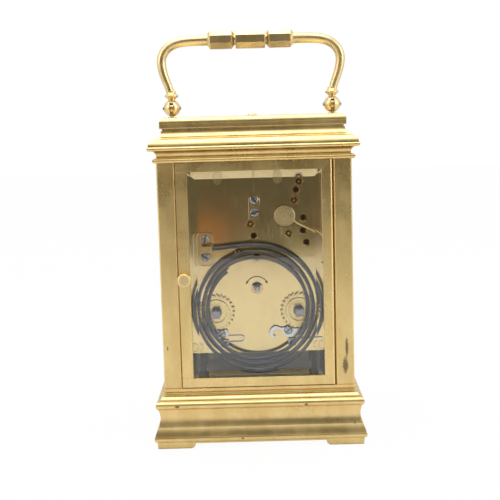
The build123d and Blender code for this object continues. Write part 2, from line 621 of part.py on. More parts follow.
GONG_SCREWS = ((22.3, 89.7), (22.3, 82.2))
BRACKET_SCREWS = ((0.3, 106.7), (0.3, 101.05))
STRIKE_CLICK = (-13.4, 48.5)
TIME_CLICK = (16.2, 47.4)
CLICK_SPRING_SCREWS = ((-15.0, 43.0), (15.0, 43.0))
SMALL_SCREW = 0.7
with BuildPart() as back_plate:
    face = BACK_PLATE[1]
    plate(*BACK_PLATE)
    for spot in PIVOT_HOLES + SPARE_SINKS:
        oil_sink(spot, face)
    for spot in SPARE_SINKS:
        rod_y(spot, face - 1.8, face, 0.55, mode=Mode.SUBTRACT)
    for spot in (TIME_BARREL, STRIKE_BARREL):
        rod_y(spot, face - 3, face + 1, WINDING_R + FIT, mode=Mode.SUBTRACT)
    rod_y(CENTRE, face - 3, face + 1, 1.5 + FIT, mode=Mode.SUBTRACT)
    rod_y(CENTRE, face - 0.5, face + 1, 2.6, mode=Mode.SUBTRACT)
    rod_y(HAMMER, face - 3, face + 1, 1.2 + FIT, mode=Mode.SUBTRACT)
    for spot in PLATE_PILLARS:
        rod_y(spot, face - 3, face + 1, 1.8 + SNUG, mode=Mode.SUBTRACT)
        rod_y(spot, face - 0.3, face + 1, 1.95, mode=Mode.SUBTRACT)
    for spot in GONG_SCREWS + BRACKET_SCREWS:
        rod_y(spot, face - 3, face + 1, 0.9 + SNUG, mode=Mode.SUBTRACT)
    for spot in (STRIKE_CLICK, TIME_CLICK) + CLICK_SPRING_SCREWS:
        rod_y(spot, face - 3, face + 1, SMALL_SCREW + SNUG, mode=Mode.SUBTRACT)
    # double-headed arrow engraved over the hand-setting square
    arrow_r, half_sweep = 5.0, 55
    with BuildSketch(Plane(origin=(CENTRE[0], face, CENTRE[1]), x_dir=(-1, 0, 0),
                           z_dir=(0, 1, 0))) as arrow:
        Circle(arrow_r + 0.2)
        Circle(arrow_r - 0.2, mode=Mode.SUBTRACT)
        with Locations((0, -arrow_r), (0, -0.2)):
            Rectangle(4 * arrow_r, 2 * arrow_r * math.cos(math.radians(half_sweep)) + 0.1,
                      mode=Mode.SUBTRACT)
        for turn in (-1, 1):
            tip = math.radians(90 + turn * (half_sweep + 6))
            with Locations(Location((arrow_r * math.cos(tip), arrow_r * math.sin(tip), 0),
                                    (0, 0, math.degrees(tip) + turn * 90))):
                Triangle(a=1.3, b=1.5, c=1.5, rotation=-90)
    extrude(arrow.sketch, amount=-0.25, mode=Mode.SUBTRACT)
save(back_plate.part, "back_plate")

with BuildPart() as front_plate:
    front, behind = FRONT_PLATE
    plate(*FRONT_PLATE)
    for spot in (TIME_BARREL, STRIKE_BARREL):
        rod_y(spot, front - 1, behind + 1, 1.5 + FIT, mode=Mode.SUBTRACT)
    rod_y(CENTRE, front - 1, behind + 1, 1.5 + FIT, mode=Mode.SUBTRACT)
    # stud riveted in for the minute wheel
    rod_y(MINUTE_WHEEL, -25.0, front, 0.9)
    rod_y(MINUTE_WHEEL, -20.4, front, 1.8)
    for spot in PLATE_PILLARS:
        rod_y(spot, front - 1, behind + 1, 1.0 + SNUG, mode=Mode.SUBTRACT)
save(front_plate.part, "front_plate")

with BuildPart() as plate_pillars:
    for spot in PLATE_PILLARS:
        rod_y(spot, FRONT_PLATE[1], BACK_PLATE[0], 1.9)
        rod_y(spot, BACK_PLATE[0], BACK_PLATE[1] + 0.05, 1.8)
        for y0 in (FRONT_PLATE[1], BACK_PLATE[0] - 2.0):
            rod_y(spot, y0, y0 + 2.0, 2.4)
        rod_y(spot, FRONT_PLATE[1] - 0.1, FRONT_PLATE[1] + 5, 1.0 + SNUG, mode=Mode.SUBTRACT)
save(plate_pillars.part, "plate_pillars")

with BuildPart() as plate_screws:
    for spot in PLATE_PILLARS:
        slotted_screw(Plane(origin=(spot[0], FRONT_PLATE[0], spot[1]), x_dir=(1, 0, 0),
                            z_dir=(0, -1, 0)), 2.2, 1.2, 1.0, 6.5)
save(plate_screws.part, "plate_screws")

with BuildPart() as seat_posts:
    for spot in SEATS:
        rod_z(spot, BASE_TOP, PLATE_PILLARS[0][1] - 1.9, 2.5)
        rod_z(spot, BASE_TOP - 1, BASE_TOP + 10.5, CASE_SCREW + SNUG, mode=Mode.SUBTRACT)
save(seat_posts.part, "seat_posts")

# ------------------------------------------------------------------ going train
GREAT_TEETH, CENTRE_LEAVES = 60, 20
GREAT_R, CENTRE_PINION_R = 15.68, 5.227
CENTRE_TEETH, THIRD_LEAVES = 80, 10
CENTRE_R, THIRD_PINION_R = 16.0, 2.0
THIRD_TEETH, CONTRATE_LEAVES = 75, 10
THIRD_R, CONTRATE_PINION_R = 11.47, 1.53
CONTRATE_TEETH, ESCAPE_LEAVES = 70, 7
CONTRATE_R, ESCAPE_PINION_R = 11.2, 1.12
DRUM = (3.0, 18.4)        # front and back of the spring barrels
DRUM_R = 14.5
DRUM_BORE = 13.7
GREAT_THICK = 1.6


def barrel(centre, toward, wheel_y):
    """Spring barrel: a great wheel at one end of a drum, closed and hollow for the spring."""
    front, behind = DRUM
    gear(centre, wheel_y, wheel_y + GREAT_THICK, GREAT_TEETH, GREAT_R, bearing(centre, toward))
    rod_y(centre, front, behind, DRUM_R)
    with BuildSketch(arbor_plane(centre, behind)) as cap_line:
        Circle(DRUM_BORE)
        Circle(DRUM_BORE - 0.2, mode=Mode.SUBTRACT)
    extrude(cap_line.sketch, amount=-0.15, mode=Mode.SUBTRACT)
    rod_y(centre, front + 2.2, behind - 1.0, DRUM_BORE, mode=Mode.SUBTRACT)
    rod_y(centre, front - 1, behind + 1, WINDING_R + FIT, mode=Mode.SUBTRACT)


def winding_arbor(centre):
    """Barrel arbor: front pivot, hub inside the barrel and the square for the key."""
    rod_y(centre, FRONT_PLATE[0] + 0.2, 2.0, 1.5)
    rod_y(centre, 2.0, 25.2, WINDING_R)
    rod_y(centre, 5.6, 17.0, 3.6)
    square_y(centre, 25.2, 31.0, 3.2)


RATCHET_TEETH = 24
RATCHET_TIP = 8.2
RATCHET_ROOT = 6.9


def ratchet(centre, hand):
    """Ratchet wheel with a raised, dished boss; the teeth lean with the hand of the train."""
    points = []
    pitch = 360 / RATCHET_TEETH
    for k in range(RATCHET_TEETH):
        tip_angle = math.radians(90 + k * pitch)
        root_angle = math.radians(90 + (k + hand * 0.12) * pitch)
        points.append((tip_angle, RATCHET_TIP))
        points.append((root_angle, RATCHET_ROOT))
    points.sort()
    with BuildSketch(arbor_plane(centre, 22.8)) as wheel:
        with BuildLine():
            Polyline(*[(r * math.cos(a), r * math.sin(a)) for a, r in points], close=True)
        make_face()
    extrude(wheel.sketch, amount=1.3)
    rod_y(centre, 24.1, 25.0, 5.6)
    rod_y(centre, 24.3, 26.0, 4.6, mode=Mode.SUBTRACT)
    rod_y(centre, 22, 26, WINDING_R + SNUG, mode=Mode.SUBTRACT)


CLICK_Y = (22.8, 24.0)    # back and front of the clicks
SPRING_THICK = 0.9


def behind_plate(side, y):
    """Plane on the rear of the back plate whose local x runs outwards on the given side."""
    return Plane(origin=(0, y, 0), x_dir=(side, 0, 0), z_dir=(0, -side, 0))


def click_bore(spot):
    """Hole for the pivot screw of a click, inside its outline sketch."""
    with Locations((abs(spot[0]), spot[1])):
        Circle(SMALL_SCREW + FIT, mode=Mode.SUBTRACT)


with BuildPart() as time_barrel:
    barrel(TIME_BARREL, CENTRE, DRUM[0])
save(time_barrel.part, "time_barrel")

with BuildPart() as time_arbor:
    winding_arbor(TIME_BARREL)
save(time_arbor.part, "time_arbor")

with BuildPart() as time_ratchet:
    ratchet(TIME_BARREL, 1)
save(time_ratchet.part, "time_ratchet")

with BuildPart() as time_click:
    with BuildSketch(behind_plate(1, CLICK_Y[0])) as pawl:
        with BuildLine():
            Polyline((19.8, 49.0), (16.0, 49.0), (14.2, 49.3))
            ThreePointArc((14.2, 49.3), (13.3, 47.9), (14.2, 46.2))
            ThreePointArc((14.2, 46.2), (16.0, 45.6), (17.6, 46.0))
            Polyline((17.6, 46.0), (19.0, 47.3), (19.8, 49.0))
        make_face()
        click_bore(TIME_CLICK)
    extrude(pawl.sketch, amount=CLICK_Y[0] - CLICK_Y[1])
save(time_click.part, "time_click")

with BuildPart() as strike_barrel:
    barrel(STRIKE_BARREL, STRIKE_SECOND, DRUM[1] - GREAT_THICK)
save(strike_barrel.part, "strike_barrel")

with BuildPart() as strike_arbor:
    winding_arbor(STRIKE_BARREL)
save(strike_arbor.part, "strike_arbor")

with BuildPart() as strike_ratchet:
    ratchet(STRIKE_BARREL, -1)
save(strike_ratchet.part, "strike_ratchet")

with BuildPart() as strike_click:
    with BuildSketch(behind_plate(-1, CLICK_Y[0])) as pawl:
        with BuildLine():
            Polyline((19.8, 49.0), (16.0, 49.0), (13.2, 50.2))
            Spline((13.2, 50.2), (11.4, 49.6), (10.0, 49.6), (8.4, 50.3), (6.6, 49.9),
                   (5.3, 48.3), (5.0, 46.6), (5.7, 45.3), (7.2, 45.0))
            Line((7.2, 45.0), (7.7, 45.8))
            Spline((7.7, 45.8), (6.9, 46.3), (6.7, 47.3), (7.4, 48.5), (8.7, 48.9),
                   (10.2, 48.0), (11.2, 46.4), (12.6, 45.5))
            Polyline((12.6, 45.5), (15.4, 45.2), (17.6, 46.0), (19.0, 47.3), (19.8, 49.0))
        make_face()
        click_bore(STRIKE_CLICK)
    extrude(pawl.sketch, amount=CLICK_Y[1] - CLICK_Y[0])
save(strike_click.part, "strike_click")

with BuildPart() as click_springs:
    for side in (-1, 1):
        with BuildSketch(behind_plate(side, BACK_PLATE[1])) as spring:
            with BuildLine():
                Polyline((13.2, 44.6), (17.6, 44.6), (16.6, 41.2), (13.2, 41.2), close=True)
            make_face()
            if side < 0:
                # straight blade under the strike click
                with Locations((20.0, 44.4)):
                    Rectangle(13.0, 0.4)
            else:
                # bent back on itself like a hairpin under the time click
                loop_end, loop_mid, loop_half = 7.6, 44.85, 1.6
                with Locations((loop_end, loop_mid)):
                    Circle(loop_half)
                with Locations(((loop_end + 13.2) / 2, loop_mid)):
                    Rectangle(13.2 - loop_end, 2 * loop_half)
                with Locations(((loop_end + 13.2) / 2, loop_mid)):
                    Rectangle(13.2 - loop_end, 2 * loop_half - 0.9, mode=Mode.SUBTRACT)
                with Locations((loop_end, loop_mid)):
                    Circle(loop_half - 0.45, mode=Mode.SUBTRACT)
            with Locations((CLICK_SPRING_SCREWS[1][0], CLICK_SPRING_SCREWS[1][1])):
                Circle(SMALL_SCREW + SNUG, mode=Mode.SUBTRACT)
        extrude(spring.sketch, amount=-side * SPRING_THICK)
save(click_springs.part, "click_springs")

with BuildPart() as centre_wheel:
    gear(CENTRE, 0.0, 1.4, CENTRE_TEETH, CENTRE_R, bearing(CENTRE, THIRD))
    crossings(CENTRE, 0.0, 1.4, 7.0, 13.6, 5, 2.2)
    gear(CENTRE, 1.4, 5.6, CENTRE_LEAVES, CENTRE_PINION_R,
         bearing(CENTRE, TIME_BARREL) + 180 / CENTRE_LEAVES)
    rod_y(CENTRE, -1, 6, 1.5 + FIT, mode=Mode.SUBTRACT)
save(centre_wheel.part, "centre_wheel")

with BuildPart() as third_wheel:
    arbor(THIRD)
    gear(THIRD, -0.8, 2.2, THIRD_LEAVES, THIRD_PINION_R,
         bearing(THIRD, CENTRE) + 180 / THIRD_LEAVES)
    gear(THIRD, -4.4, -3.3, THIRD_TEETH, THIRD_R, bearing(THIRD, CONTRATE))
    crossings(THIRD, -4.4, -3.3, 2.4, 9.8, 4, 1.6)
save(third_wheel.part, "third_wheel")

with BuildPart() as contrate_wheel:
    arbor(CONTRATE)
    gear(CONTRATE, -5.2, -2.4, CONTRATE_LEAVES, CONTRATE_PINION_R,
         bearing(CONTRATE, THIRD) + 180 / CONTRATE_LEAVES)
    rod_y(CONTRATE, -9.6, -8.2, CONTRATE_R + 0.6)
    crossings(CONTRATE, -9.6, -8.2, 2.4, CONTRATE_R - 1.6, 4, 1.6)
    with BuildSketch(arbor_plane(CONTRATE, -8.2)) as crown:
        with PolarLocations(CONTRATE_R, CONTRATE_TEETH, start_angle=-90):
            Rectangle(1.2, 0.34)
    extrude(crown.sketch, amount=1.2, taper=4)
save(contrate_wheel.part, "contrate_wheel")

# ------------------------------------------------------------------ strike train and hammer
SECOND_LEAVES, SECOND_PINION_R = 12, 3.136
SECOND_TEETH, PIN_LEAVES = 70, 10
SECOND_R, PIN_PINION_R = 13.53, 1.933
PIN_TEETH, WARNING_LEAVES = 64, 8
PIN_R, WARNING_PINION_R = 13.06, 1.632
WARNING_TEETH, FLY_LEAVES = 48, 7
WARNING_R, FLY_PINION_R = 7.434, 1.084

with BuildPart() as strike_second_wheel:
    arbor(STRIKE_SECOND)
    gear(STRIKE_SECOND, 16.4, 18.8, SECOND_LEAVES, SECOND_PINION_R,
         bearing(STRIKE_SECOND, STRIKE_BARREL) + 180 / SECOND_LEAVES)
    gear(STRIKE_SECOND, -3.0, -1.8, SECOND_TEETH, SECOND_R, bearing(STRIKE_SECOND, PIN_WHEEL))
    crossings(STRIKE_SECOND, -3.0, -1.8, 2.6, 11.6, 5, 1.8)
save(strike_second_wheel.part, "strike_second_wheel")

with BuildPart() as strike_pin_wheel:
    arbor(PIN_WHEEL)
    gear(PIN_WHEEL, -3.8, -1.0, PIN_LEAVES, PIN_PINION_R,
         bearing(PIN_WHEEL, STRIKE_SECOND) + 180 / PIN_LEAVES)
    gear(PIN_WHEEL, 6.0, 7.2, PIN_TEETH, PIN_R, bearing(PIN_WHEEL, WARNING))
    crossings(PIN_WHEEL, 6.0, 7.2, 2.4, 9.2, 4, 1.6)
    with BuildSketch(arbor_plane(PIN_WHEEL, 7.2)) as lifting_pins:
        with PolarLocations(10.3, 8):
            Circle(0.4)
    extrude(lifting_pins.sketch, amount=2.2)
save(strike_pin_wheel.part, "strike_pin_wheel")

with BuildPart() as warning_wheel:
    arbor(WARNING)
    gear(WARNING, 5.0, 8.2, WARNING_LEAVES, WARNING_PINION_R,
         bearing(WARNING, PIN_WHEEL) + 180 / WARNING_LEAVES)
    gear(WARNING, 10.2, 11.2, WARNING_TEETH, WARNING_R, bearing(WARNING, FLY))
    crossings(WARNING, 10.2, 11.2, 2.0, 5.8, 4, 1.2)
save(warning_wheel.part, "warning_wheel")

with BuildPart() as strike_fly:
    arbor(FLY, radius=0.6)
    gear(FLY, 9.4, 12.0, FLY_LEAVES, FLY_PINION_R, bearing(FLY, WARNING) + 180 / FLY_LEAVES)
    block(FLY[0] - 4.4, FLY[0] + 4.4, -8.0, 6.0, FLY[1] - 0.15, FLY[1] + 0.15)
    rod_y(FLY, -8.0, 6.0, 1.2)
save(strike_fly.part, "strike_fly")

with BuildPart() as hammer:
    rod_y(HAMMER, 13.0, 22.9, 1.2)
    rod_y(HAMMER, 22.9, 25.6, 4.6)
    chamfer(hammer.edges().filter_by(GeomType.CIRCLE).group_by(Axis.Y)[-1], length=0.35)
    for ring_out, ring_in in ((3.9, 3.4), (2.9, 2.2)):
        with BuildSketch(arbor_plane(HAMMER, 25.6)) as turned_ring:
            Circle(ring_out)
            Circle(ring_in, mode=Mode.SUBTRACT)
        extrude(turned_ring.sketch, amount=-0.4, mode=Mode.SUBTRACT)
    rod_y(HAMMER, 25.3, 26.2, 1.5)
    rod_y(HAMMER, 25.2, 26.3, 0.6, mode=Mode.SUBTRACT)
    hub_u, hub_z = -HAMMER[0], HAMMER[1]
    arm_y = 24.6
    with BuildLine() as arm:
        Spline((-hub_u - 4.0, arm_y, hub_z - 2.2), (-20.0, arm_y, 95.2), (-26.6, arm_y, 91.4),
               (-29.6, 26.0, 87.4), (-30.2, GONG_Y, 82.5))
    with BuildSketch(Plane(origin=arm.line @ 0, z_dir=arm.line % 0)) as wire:
        Circle(0.5)
    sweep(wire.sketch, path=arm.line)
    head_plane = Plane(origin=(-30.2, GONG_Y, 79.5), z_dir=(0.83, 0, 0.56))
    with BuildSketch(head_plane) as head:
        Circle(2.1)
    extrude(head.sketch, amount=2.2, both=True)
    rod_y((-30.2, 81.5), GONG_Y - 0.6, GONG_Y + 0.6, 1.2)
save(hammer.part, "hammer")

# ------------------------------------------------------------------ gong
EDGE_CHAMFER = 0.25       # broken edges of the small brass fittings

with BuildPart() as gong_block:
    with BuildSketch(rear(BACK_PLATE[1])) as foot:
        with Locations((-22.3, 85.5)):
            Rectangle(7.2, 14.6)
        fillet(foot.vertices().group_by(Axis.Z)[-1], radius=1.6)
    extrude(foot.sketch, amount=1.8)
    chamfer(gong_block.faces().sort_by(Axis.Y)[-1].edges(), length=EDGE_CHAMFER)
    block(19.0, 23.5, BACK_PLATE[1] + 1.8, 30.0, 84.5, 87.4)
    for spot in GONG_SCREWS:
        rod_y(spot, 22, 31, 0.9 + SNUG, mode=Mode.SUBTRACT)
save(gong_block.part, "gong_block")

with BuildPart() as gong_coil:
    gong_points = [(18.98, GONG_Y, 86.1), (9.5, GONG_Y, 86.9)]
    steps = 58
    for k in range(steps + 1):
        turn = GONG_TURNS * k / steps
        r = GONG_OUTER - GONG_PITCH * turn + GONG_EASE * turn**2
        gong_points.append((GONG[0] - r * math.sin(2 * math.pi * turn), GONG_Y,
                            GONG[1] + r * math.cos(2 * math.pi * turn)))
    with BuildLine() as coil:
        Spline(*gong_points)
    with BuildSketch(Plane(origin=coil.line @ 0, z_dir=coil.line % 0)) as wire:
        Circle(GONG_WIRE)
    sweep(wire.sketch, path=coil.line)
save(gong_coil.part, "gong_coil")

# ------------------------------------------------------------------ spring bracket
with BuildPart() as spring_bracket:
    with BuildSketch(rear(BACK_PLATE[1])) as tongue:
        with Locations((-0.3, 102.1)):
            Rectangle(5.1, 8.6)
        with Locations((-0.3, 106.4)):
            Circle(2.55)
    extrude(tongue.sketch, amount=1.2)
    chamfer(spring_bracket.faces().sort_by(Axis.Y)[-1].edges(), length=EDGE_CHAMFER)
    block(-0.05, 0.65, 22.6, 23.0, 108.8, 118.4)
    for spot in BRACKET_SCREWS:
        rod_y(spot, 22, 25, 0.9 + SNUG, mode=Mode.SUBTRACT)
save(spring_bracket.part, "spring_bracket")

SLOT_TURNS = (78, -36, -52, 18)       # how each slot stands after tightening
REAR_SEATS = (1.8, 1.8, 1.2, 1.2)
with BuildPart() as rear_screws:
    for spot, rise, turn in zip(GONG_SCREWS + BRACKET_SCREWS, REAR_SEATS, SLOT_TURNS):
        seat = Plane(origin=(spot[0], BACK_PLATE[1] + rise, spot[1]), x_dir=(-1, 0, 0),
                     z_dir=(0, 1, 0))
        slotted_screw(seat, 2.0, 1.2, 0.9, 3.2, slot=0.6, turn=turn)
save(rear_screws.part, "rear_screws")

# ------------------------------------------------------------------ hands and motion work
CANNON_TEETH, CANNON_R = 12, 3.0
MINUTE_TEETH, MINUTE_R = 36, 9.0
MINUTE_LEAVES, MINUTE_PINION_R = 10, 2.4
HOUR_TEETH, HOUR_R = 40, 9.6
CANNON_PIPE = 1.8         # outside radius of the cannon pinion's pipe
CANNON_END = -29.6
HOUR_PIPE = 2.7           # outside radius of the hour wheel's pipe

with BuildPart() as centre_arbor:
    rod_y(CENTRE, -19.8, 22.6, 1.5)
    rod_y(CENTRE, -30.4, -19.8, 1.0)
    square_y(CENTRE, 22.6, 27.0, 1.9)
save(centre_arbor.part, "centre_arbor")

with BuildPart() as cannon_pinion:
    gear(CENTRE, -22.2, -20.2, CANNON_TEETH, CANNON_R,
         bearing(CENTRE, MINUTE_WHEEL) + 180 / CANNON_TEETH)
    rod_y(CENTRE, CANNON_END, -20.2, CANNON_PIPE)
    rod_y(CENTRE, -31, -19, 1.0 + SNUG, mode=Mode.SUBTRACT)
save(cannon_pinion.part, "cannon_pinion")

with BuildPart() as minute_wheel:
    gear(MINUTE_WHEEL, -21.8, -20.6, MINUTE_TEETH, MINUTE_R, bearing(MINUTE_WHEEL, CENTRE))
    crossings(MINUTE_WHEEL, -21.8, -20.6, 3.2, 7.0, 4, 1.4)
    gear(MINUTE_WHEEL, -24.6, -21.8, MINUTE_LEAVES, MINUTE_PINION_R,
         bearing(MINUTE_WHEEL, CENTRE) + 180 / MINUTE_LEAVES)
    rod_y(MINUTE_WHEEL, -25, -20, 0.9 + FIT, mode=Mode.SUBTRACT)
save(minute_wheel.part, "minute_wheel")

with BuildPart() as hour_wheel:
    gear(CENTRE, -24.4, -23.4, HOUR_TEETH, HOUR_R, bearing(CENTRE, MINUTE_WHEEL))
    # snail cam: twelve steps that set how many blows are struck
    with BuildSketch(arbor_plane(CENTRE, -23.4)) as snail:
        with BuildLine():
            steps = []
            for hour in range(12):
                for edge in (0, 1):
                    angle = math.radians(30 * (hour + edge))
                    reach = 3.4 + 0.42 * hour
                    steps.append((reach * math.cos(angle), reach * math.sin(angle)))
            Polyline(*steps, close=True)
        make_face()
    extrude(snail.sketch, amount=0.9)
    rod_y(CENTRE, -28.6, -23.4, HOUR_PIPE)
    rod_y(CENTRE, -29, -22, CANNON_PIPE + FIT, mode=Mode.SUBTRACT)
save(hour_wheel.part, "hour_wheel")


def hand(y, thick, reach, eye, boss, bore):
    """Slender hand with a pierced eye near its tip, pointing up (12 o'clock)."""
    with BuildSketch(Plane(origin=(0, y, CENTRE[1]), x_dir=(1, 0, 0), z_dir=(0, -1, 0))) as shape:
        with BuildLine():
            Polyline((-0.75, 0), (-0.45, reach), (0, reach + 0.3), (0.45, reach), (0.75, 0),
                     close=True)
        make_face()
        with Locations((0, reach * 0.74)):
            Circle(eye)
            Circle(eye * 0.55, mode=Mode.SUBTRACT)
        with Locations((0, reach * 0.94)):
            Ellipse(0.95, 2.0)
        Circle(boss)
        Circle(bore, mode=Mode.SUBTRACT)
    extrude(shape.sketch, amount=thick)


with BuildPart() as hour_hand:
    hand(-27.9, 0.5, 12.6, 1.9, 3.6, HOUR_PIPE + SNUG)
save(hour_hand.part, "hour_hand")

with BuildPart() as minute_hand:
    hand(-29.1, 0.45, 20.5, 1.6, 2.8, CANNON_PIPE + SNUG)
    # collet riveted to the hand, held on the end of the centre arbor
    rod_y(CENTRE, -30.3, -29.5, 2.1)
    rod_y(CENTRE, CANNON_END, -29.0, CANNON_PIPE + SNUG, mode=Mode.SUBTRACT)
    rod_y(CENTRE, -31, -29.0, 1.0 + SNUG, mode=Mode.SUBTRACT)
save(minute_hand.part, "minute_hand")

# ------------------------------------------------------------------ dial
with BuildPart() as dial_mask:
    mask_x, mask_bottom, mask_top = 32.8, 26.6, 123.4
    block(-mask_x, mask_x, DIAL_FACE, DIAL_FACE + 1.2, mask_bottom, mask_top)
    block(-DIAL_X - SNUG, DIAL_X + SNUG, DIAL_FACE - 1, DIAL_FACE + 2, DIAL_BOTTOM - SNUG,
          DIAL_TOP + SNUG, mode=Mode.SUBTRACT)
    rim = 1.3
    block(-DIAL_X - rim, DIAL_X + rim, DIAL_FACE - 0.5, DIAL_FACE, DIAL_BOTTOM - rim,
          DIAL_TOP + rim)
    block(-DIAL_X + 0.6, DIAL_X - 0.6, DIAL_FACE - 1, DIAL_FACE, DIAL_BOTTOM + 0.6,
          DIAL_TOP - 0.6, mode=Mode.SUBTRACT)
save(dial_mask.part, "dial_mask")

NUMERALS = ("XII", "I", "II", "III", "IIII", "V", "VI", "VII", "VIII", "IX", "X", "XI")
INK = 0.06


def stroke(x, tall, width, lean=0.0):
    """One stroke of a Roman numeral, standing on the local x axis."""
    with Locations((x, 0)):
        Rectangle(width, tall, rotation=lean)


def numeral(text, tall):
    """Roman numeral drawn from plain strokes, centred on the local origin."""
    advance = {"I": 1.25, "V": 2.5, "X": 2.5}
    total = sum(advance[letter] for letter in text)
    x = -total / 2
    for letter in text:
        middle = x + advance[letter] / 2
        if letter == "I":
            stroke(middle, tall, 0.62)
        elif letter == "V":
            stroke(middle - 0.48, tall, 0.66, 13)
            stroke(middle + 0.48, tall, 0.3, -13)
        else:
            stroke(middle, tall * 1.05, 0.66, 24)
            stroke(middle, tall * 1.05, 0.3, -24)
        x += advance[letter]
    with Locations((0, tall / 2), (0, -tall / 2)):
        Rectangle(total, 0.22)


DIAL_FEET = ((-22.0, 110.0), (22.0, 110.0), (-13.2, 41.2), (13.2, 41.2))
with BuildPart() as dial_plate:
    block(-DIAL_X, DIAL_X, DIAL_FACE, DIAL_FACE + 1.2, DIAL_BOTTOM, DIAL_TOP)
    rod_y(CENTRE, DIAL_FACE - 1, DIAL_FACE + 3, 3.4, mode=Mode.SUBTRACT)
    for spot in DIAL_FEET:
        rod_y(spot, DIAL_FACE + 1.2, FRONT_PLATE[0], 1.2)
    # painted chapter ring and numerals stand just proud of the enamel
    dial_front = Plane(origin=(0, DIAL_FACE, CENTRE[1]), x_dir=(1, 0, 0), z_dir=(0, -1, 0))
    with BuildSketch(dial_front) as ink:
        for ring_radius in (CHAPTER, CHAPTER - 1.6, 14.4):
            Circle(ring_radius + 0.09)
            Circle(ring_radius - 0.09, mode=Mode.SUBTRACT)
        for minute in range(60):
            bold = 0.5 if minute % 5 == 0 else 0.16
            with PolarLocations(CHAPTER - 0.8, 1, start_angle=6 * minute):
                Rectangle(1.6, bold)
    extrude(ink.sketch, amount=INK)
    with BuildSketch(dial_front) as figures:
        for hour, text in enumerate(NUMERALS):
            angle = 90 - 30 * hour
            spot = (18.9 * math.cos(math.radians(angle)), 18.9 * math.sin(math.radians(angle)))
            with Locations(Location((spot[0], spot[1], 0), (0, 0, angle - 90))):
                numeral(text, 5.4)
    extrude(figures.sketch, amount=INK)
save(dial_plate.part, "dial_plate")


# ------------------------------------------------------------------ platform escapement
def upright(spot, z, facing=0.0):
    """Level plane with its origin on an upright arbor and local x at an angle."""
    return Plane(origin=(spot[0], spot[1], z),
                 x_dir=(math.cos(facing), math.sin(facing), 0), z_dir=(0, 0, 1))


PLATFORM_SCREWS = [(x, (plate_y[0] + plate_y[1]) / 2) for x in PLATFORM_SCREW_X
                   for plate_y in (FRONT_PLATE, BACK_PLATE)]
with BuildPart() as platform_plate:
    low, high = PLATFORM
    block(-15.0, 15.0, FRONT_PLATE[0], BACK_PLATE[1], low, high)
    chamfer(platform_plate.edges().filter_by(Axis.Z), length=1.5)
    rod_z(ESCAPE, low - 1, high + 1, 2.2, mode=Mode.SUBTRACT)
    for spot in (PALLET, BALANCE):
        rod_z(spot, low - 1, high + 1, 0.35 + FIT, mode=Mode.SUBTRACT)
    for spot in PLATFORM_SCREWS:
        rod_z(spot, low - 1, high + 1, SMALL_SCREW + SNUG, mode=Mode.SUBTRACT)
save(platform_plate.part, "platform_plate")

ESCAPE_TEETH = 15
ESCAPE_TIP = 4.0
with BuildPart() as escape_wheel:
    rod_z(ESCAPE, 105.2, 123.6, 0.35)
    rod_z(ESCAPE, 113.2, 122.8, 0.6)
    with BuildSketch(upright(ESCAPE, 105.6)) as leaves:
        Circle(0.75)
        with PolarLocations(0, ESCAPE_LEAVES, start_angle=-90 + 180 / ESCAPE_LEAVES):
            Rectangle(1.35, 0.3, align=(Align.MIN, Align.CENTER))
    extrude(leaves.sketch, amount=7.6)
    tooth_points = []
    for k in range(ESCAPE_TEETH):
        for r, share in ((2.9, 0.0), (ESCAPE_TIP, 0.42), (ESCAPE_TIP - 0.25, 0.62), (2.9, 0.5)):
            angle = 2 * math.pi * (k + share) / ESCAPE_TEETH
            tooth_points.append((r * math.cos(angle), r * math.sin(angle)))
    with BuildSketch(upright(ESCAPE, 121.4)) as club:
        with BuildLine():
            Polyline(*tooth_points, close=True)
        make_face()
        Circle(2.4, mode=Mode.SUBTRACT)
        Circle(0.9)
        with PolarLocations(0, 4):
            Rectangle(2.6, 0.5, align=(Align.MIN, Align.CENTER))
    extrude(club.sketch, amount=0.4)
save(escape_wheel.part, "escape_wheel")

toward_balance = math.atan2(BALANCE[1] - PALLET[1], BALANCE[0] - PALLET[0])
toward_escape = math.atan2(ESCAPE[1] - PALLET[1], ESCAPE[0] - PALLET[0])
with BuildPart() as pallet_lever:
    with BuildSketch(upright(PALLET, 121.4, toward_escape)) as anchor:
        with BuildLine():
            Polyline((-0.5, -0.6), (0.9, -4.1), (2.3, -4.1), (2.3, -3.5), (1.4, -3.5),
                     (0.8, -0.6), (0.8, 0.6), (1.4, 3.5), (2.3, 3.5), (2.3, 4.1), (0.9, 4.1),
                     (-0.5, 0.6), close=True)
        make_face()
        Circle(0.9)
    extrude(anchor.sketch, amount=0.5)
    with BuildSketch(upright(PALLET, 121.9, toward_balance)) as fork:
        with BuildLine():
            Polyline((0, -0.35), (4.2, -0.3), (4.6, -0.8), (5.3, -0.8), (5.3, -0.35), (4.8, -0.3),
                     (4.8, 0.3), (5.3, 0.35), (5.3, 0.8), (4.6, 0.8), (4.2, 0.3), (0, 0.35),
                     close=True)
        make_face()
    extrude(fork.sketch, amount=0.5)
    rod_z(PALLET, PLATFORM[0] + 0.3, 123.6, 0.35)
save(pallet_lever.part, "pallet_lever")

with BuildPart() as escapement_cock:
    with BuildSketch(upright((0, 0), 122.9)) as bridge:
        with BuildLine():
            Polyline((0.2, 0.8), (2.4, 0.8), (4.2, -4.0), (9.6, -4.4), (9.6, -8.8), (1.2, -8.8),
                     (0.4, -6.0), close=True)
        make_face()
        for spot in (ESCAPE, PALLET):
            with Locations(spot):
                Circle(0.35 + FIT, mode=Mode.SUBTRACT)
    extrude(bridge.sketch, amount=0.8)
    block(6.8, 9.6, -8.8, -4.4, PLATFORM[1], 122.9)
save(escapement_cock.part, "escapement_cock")

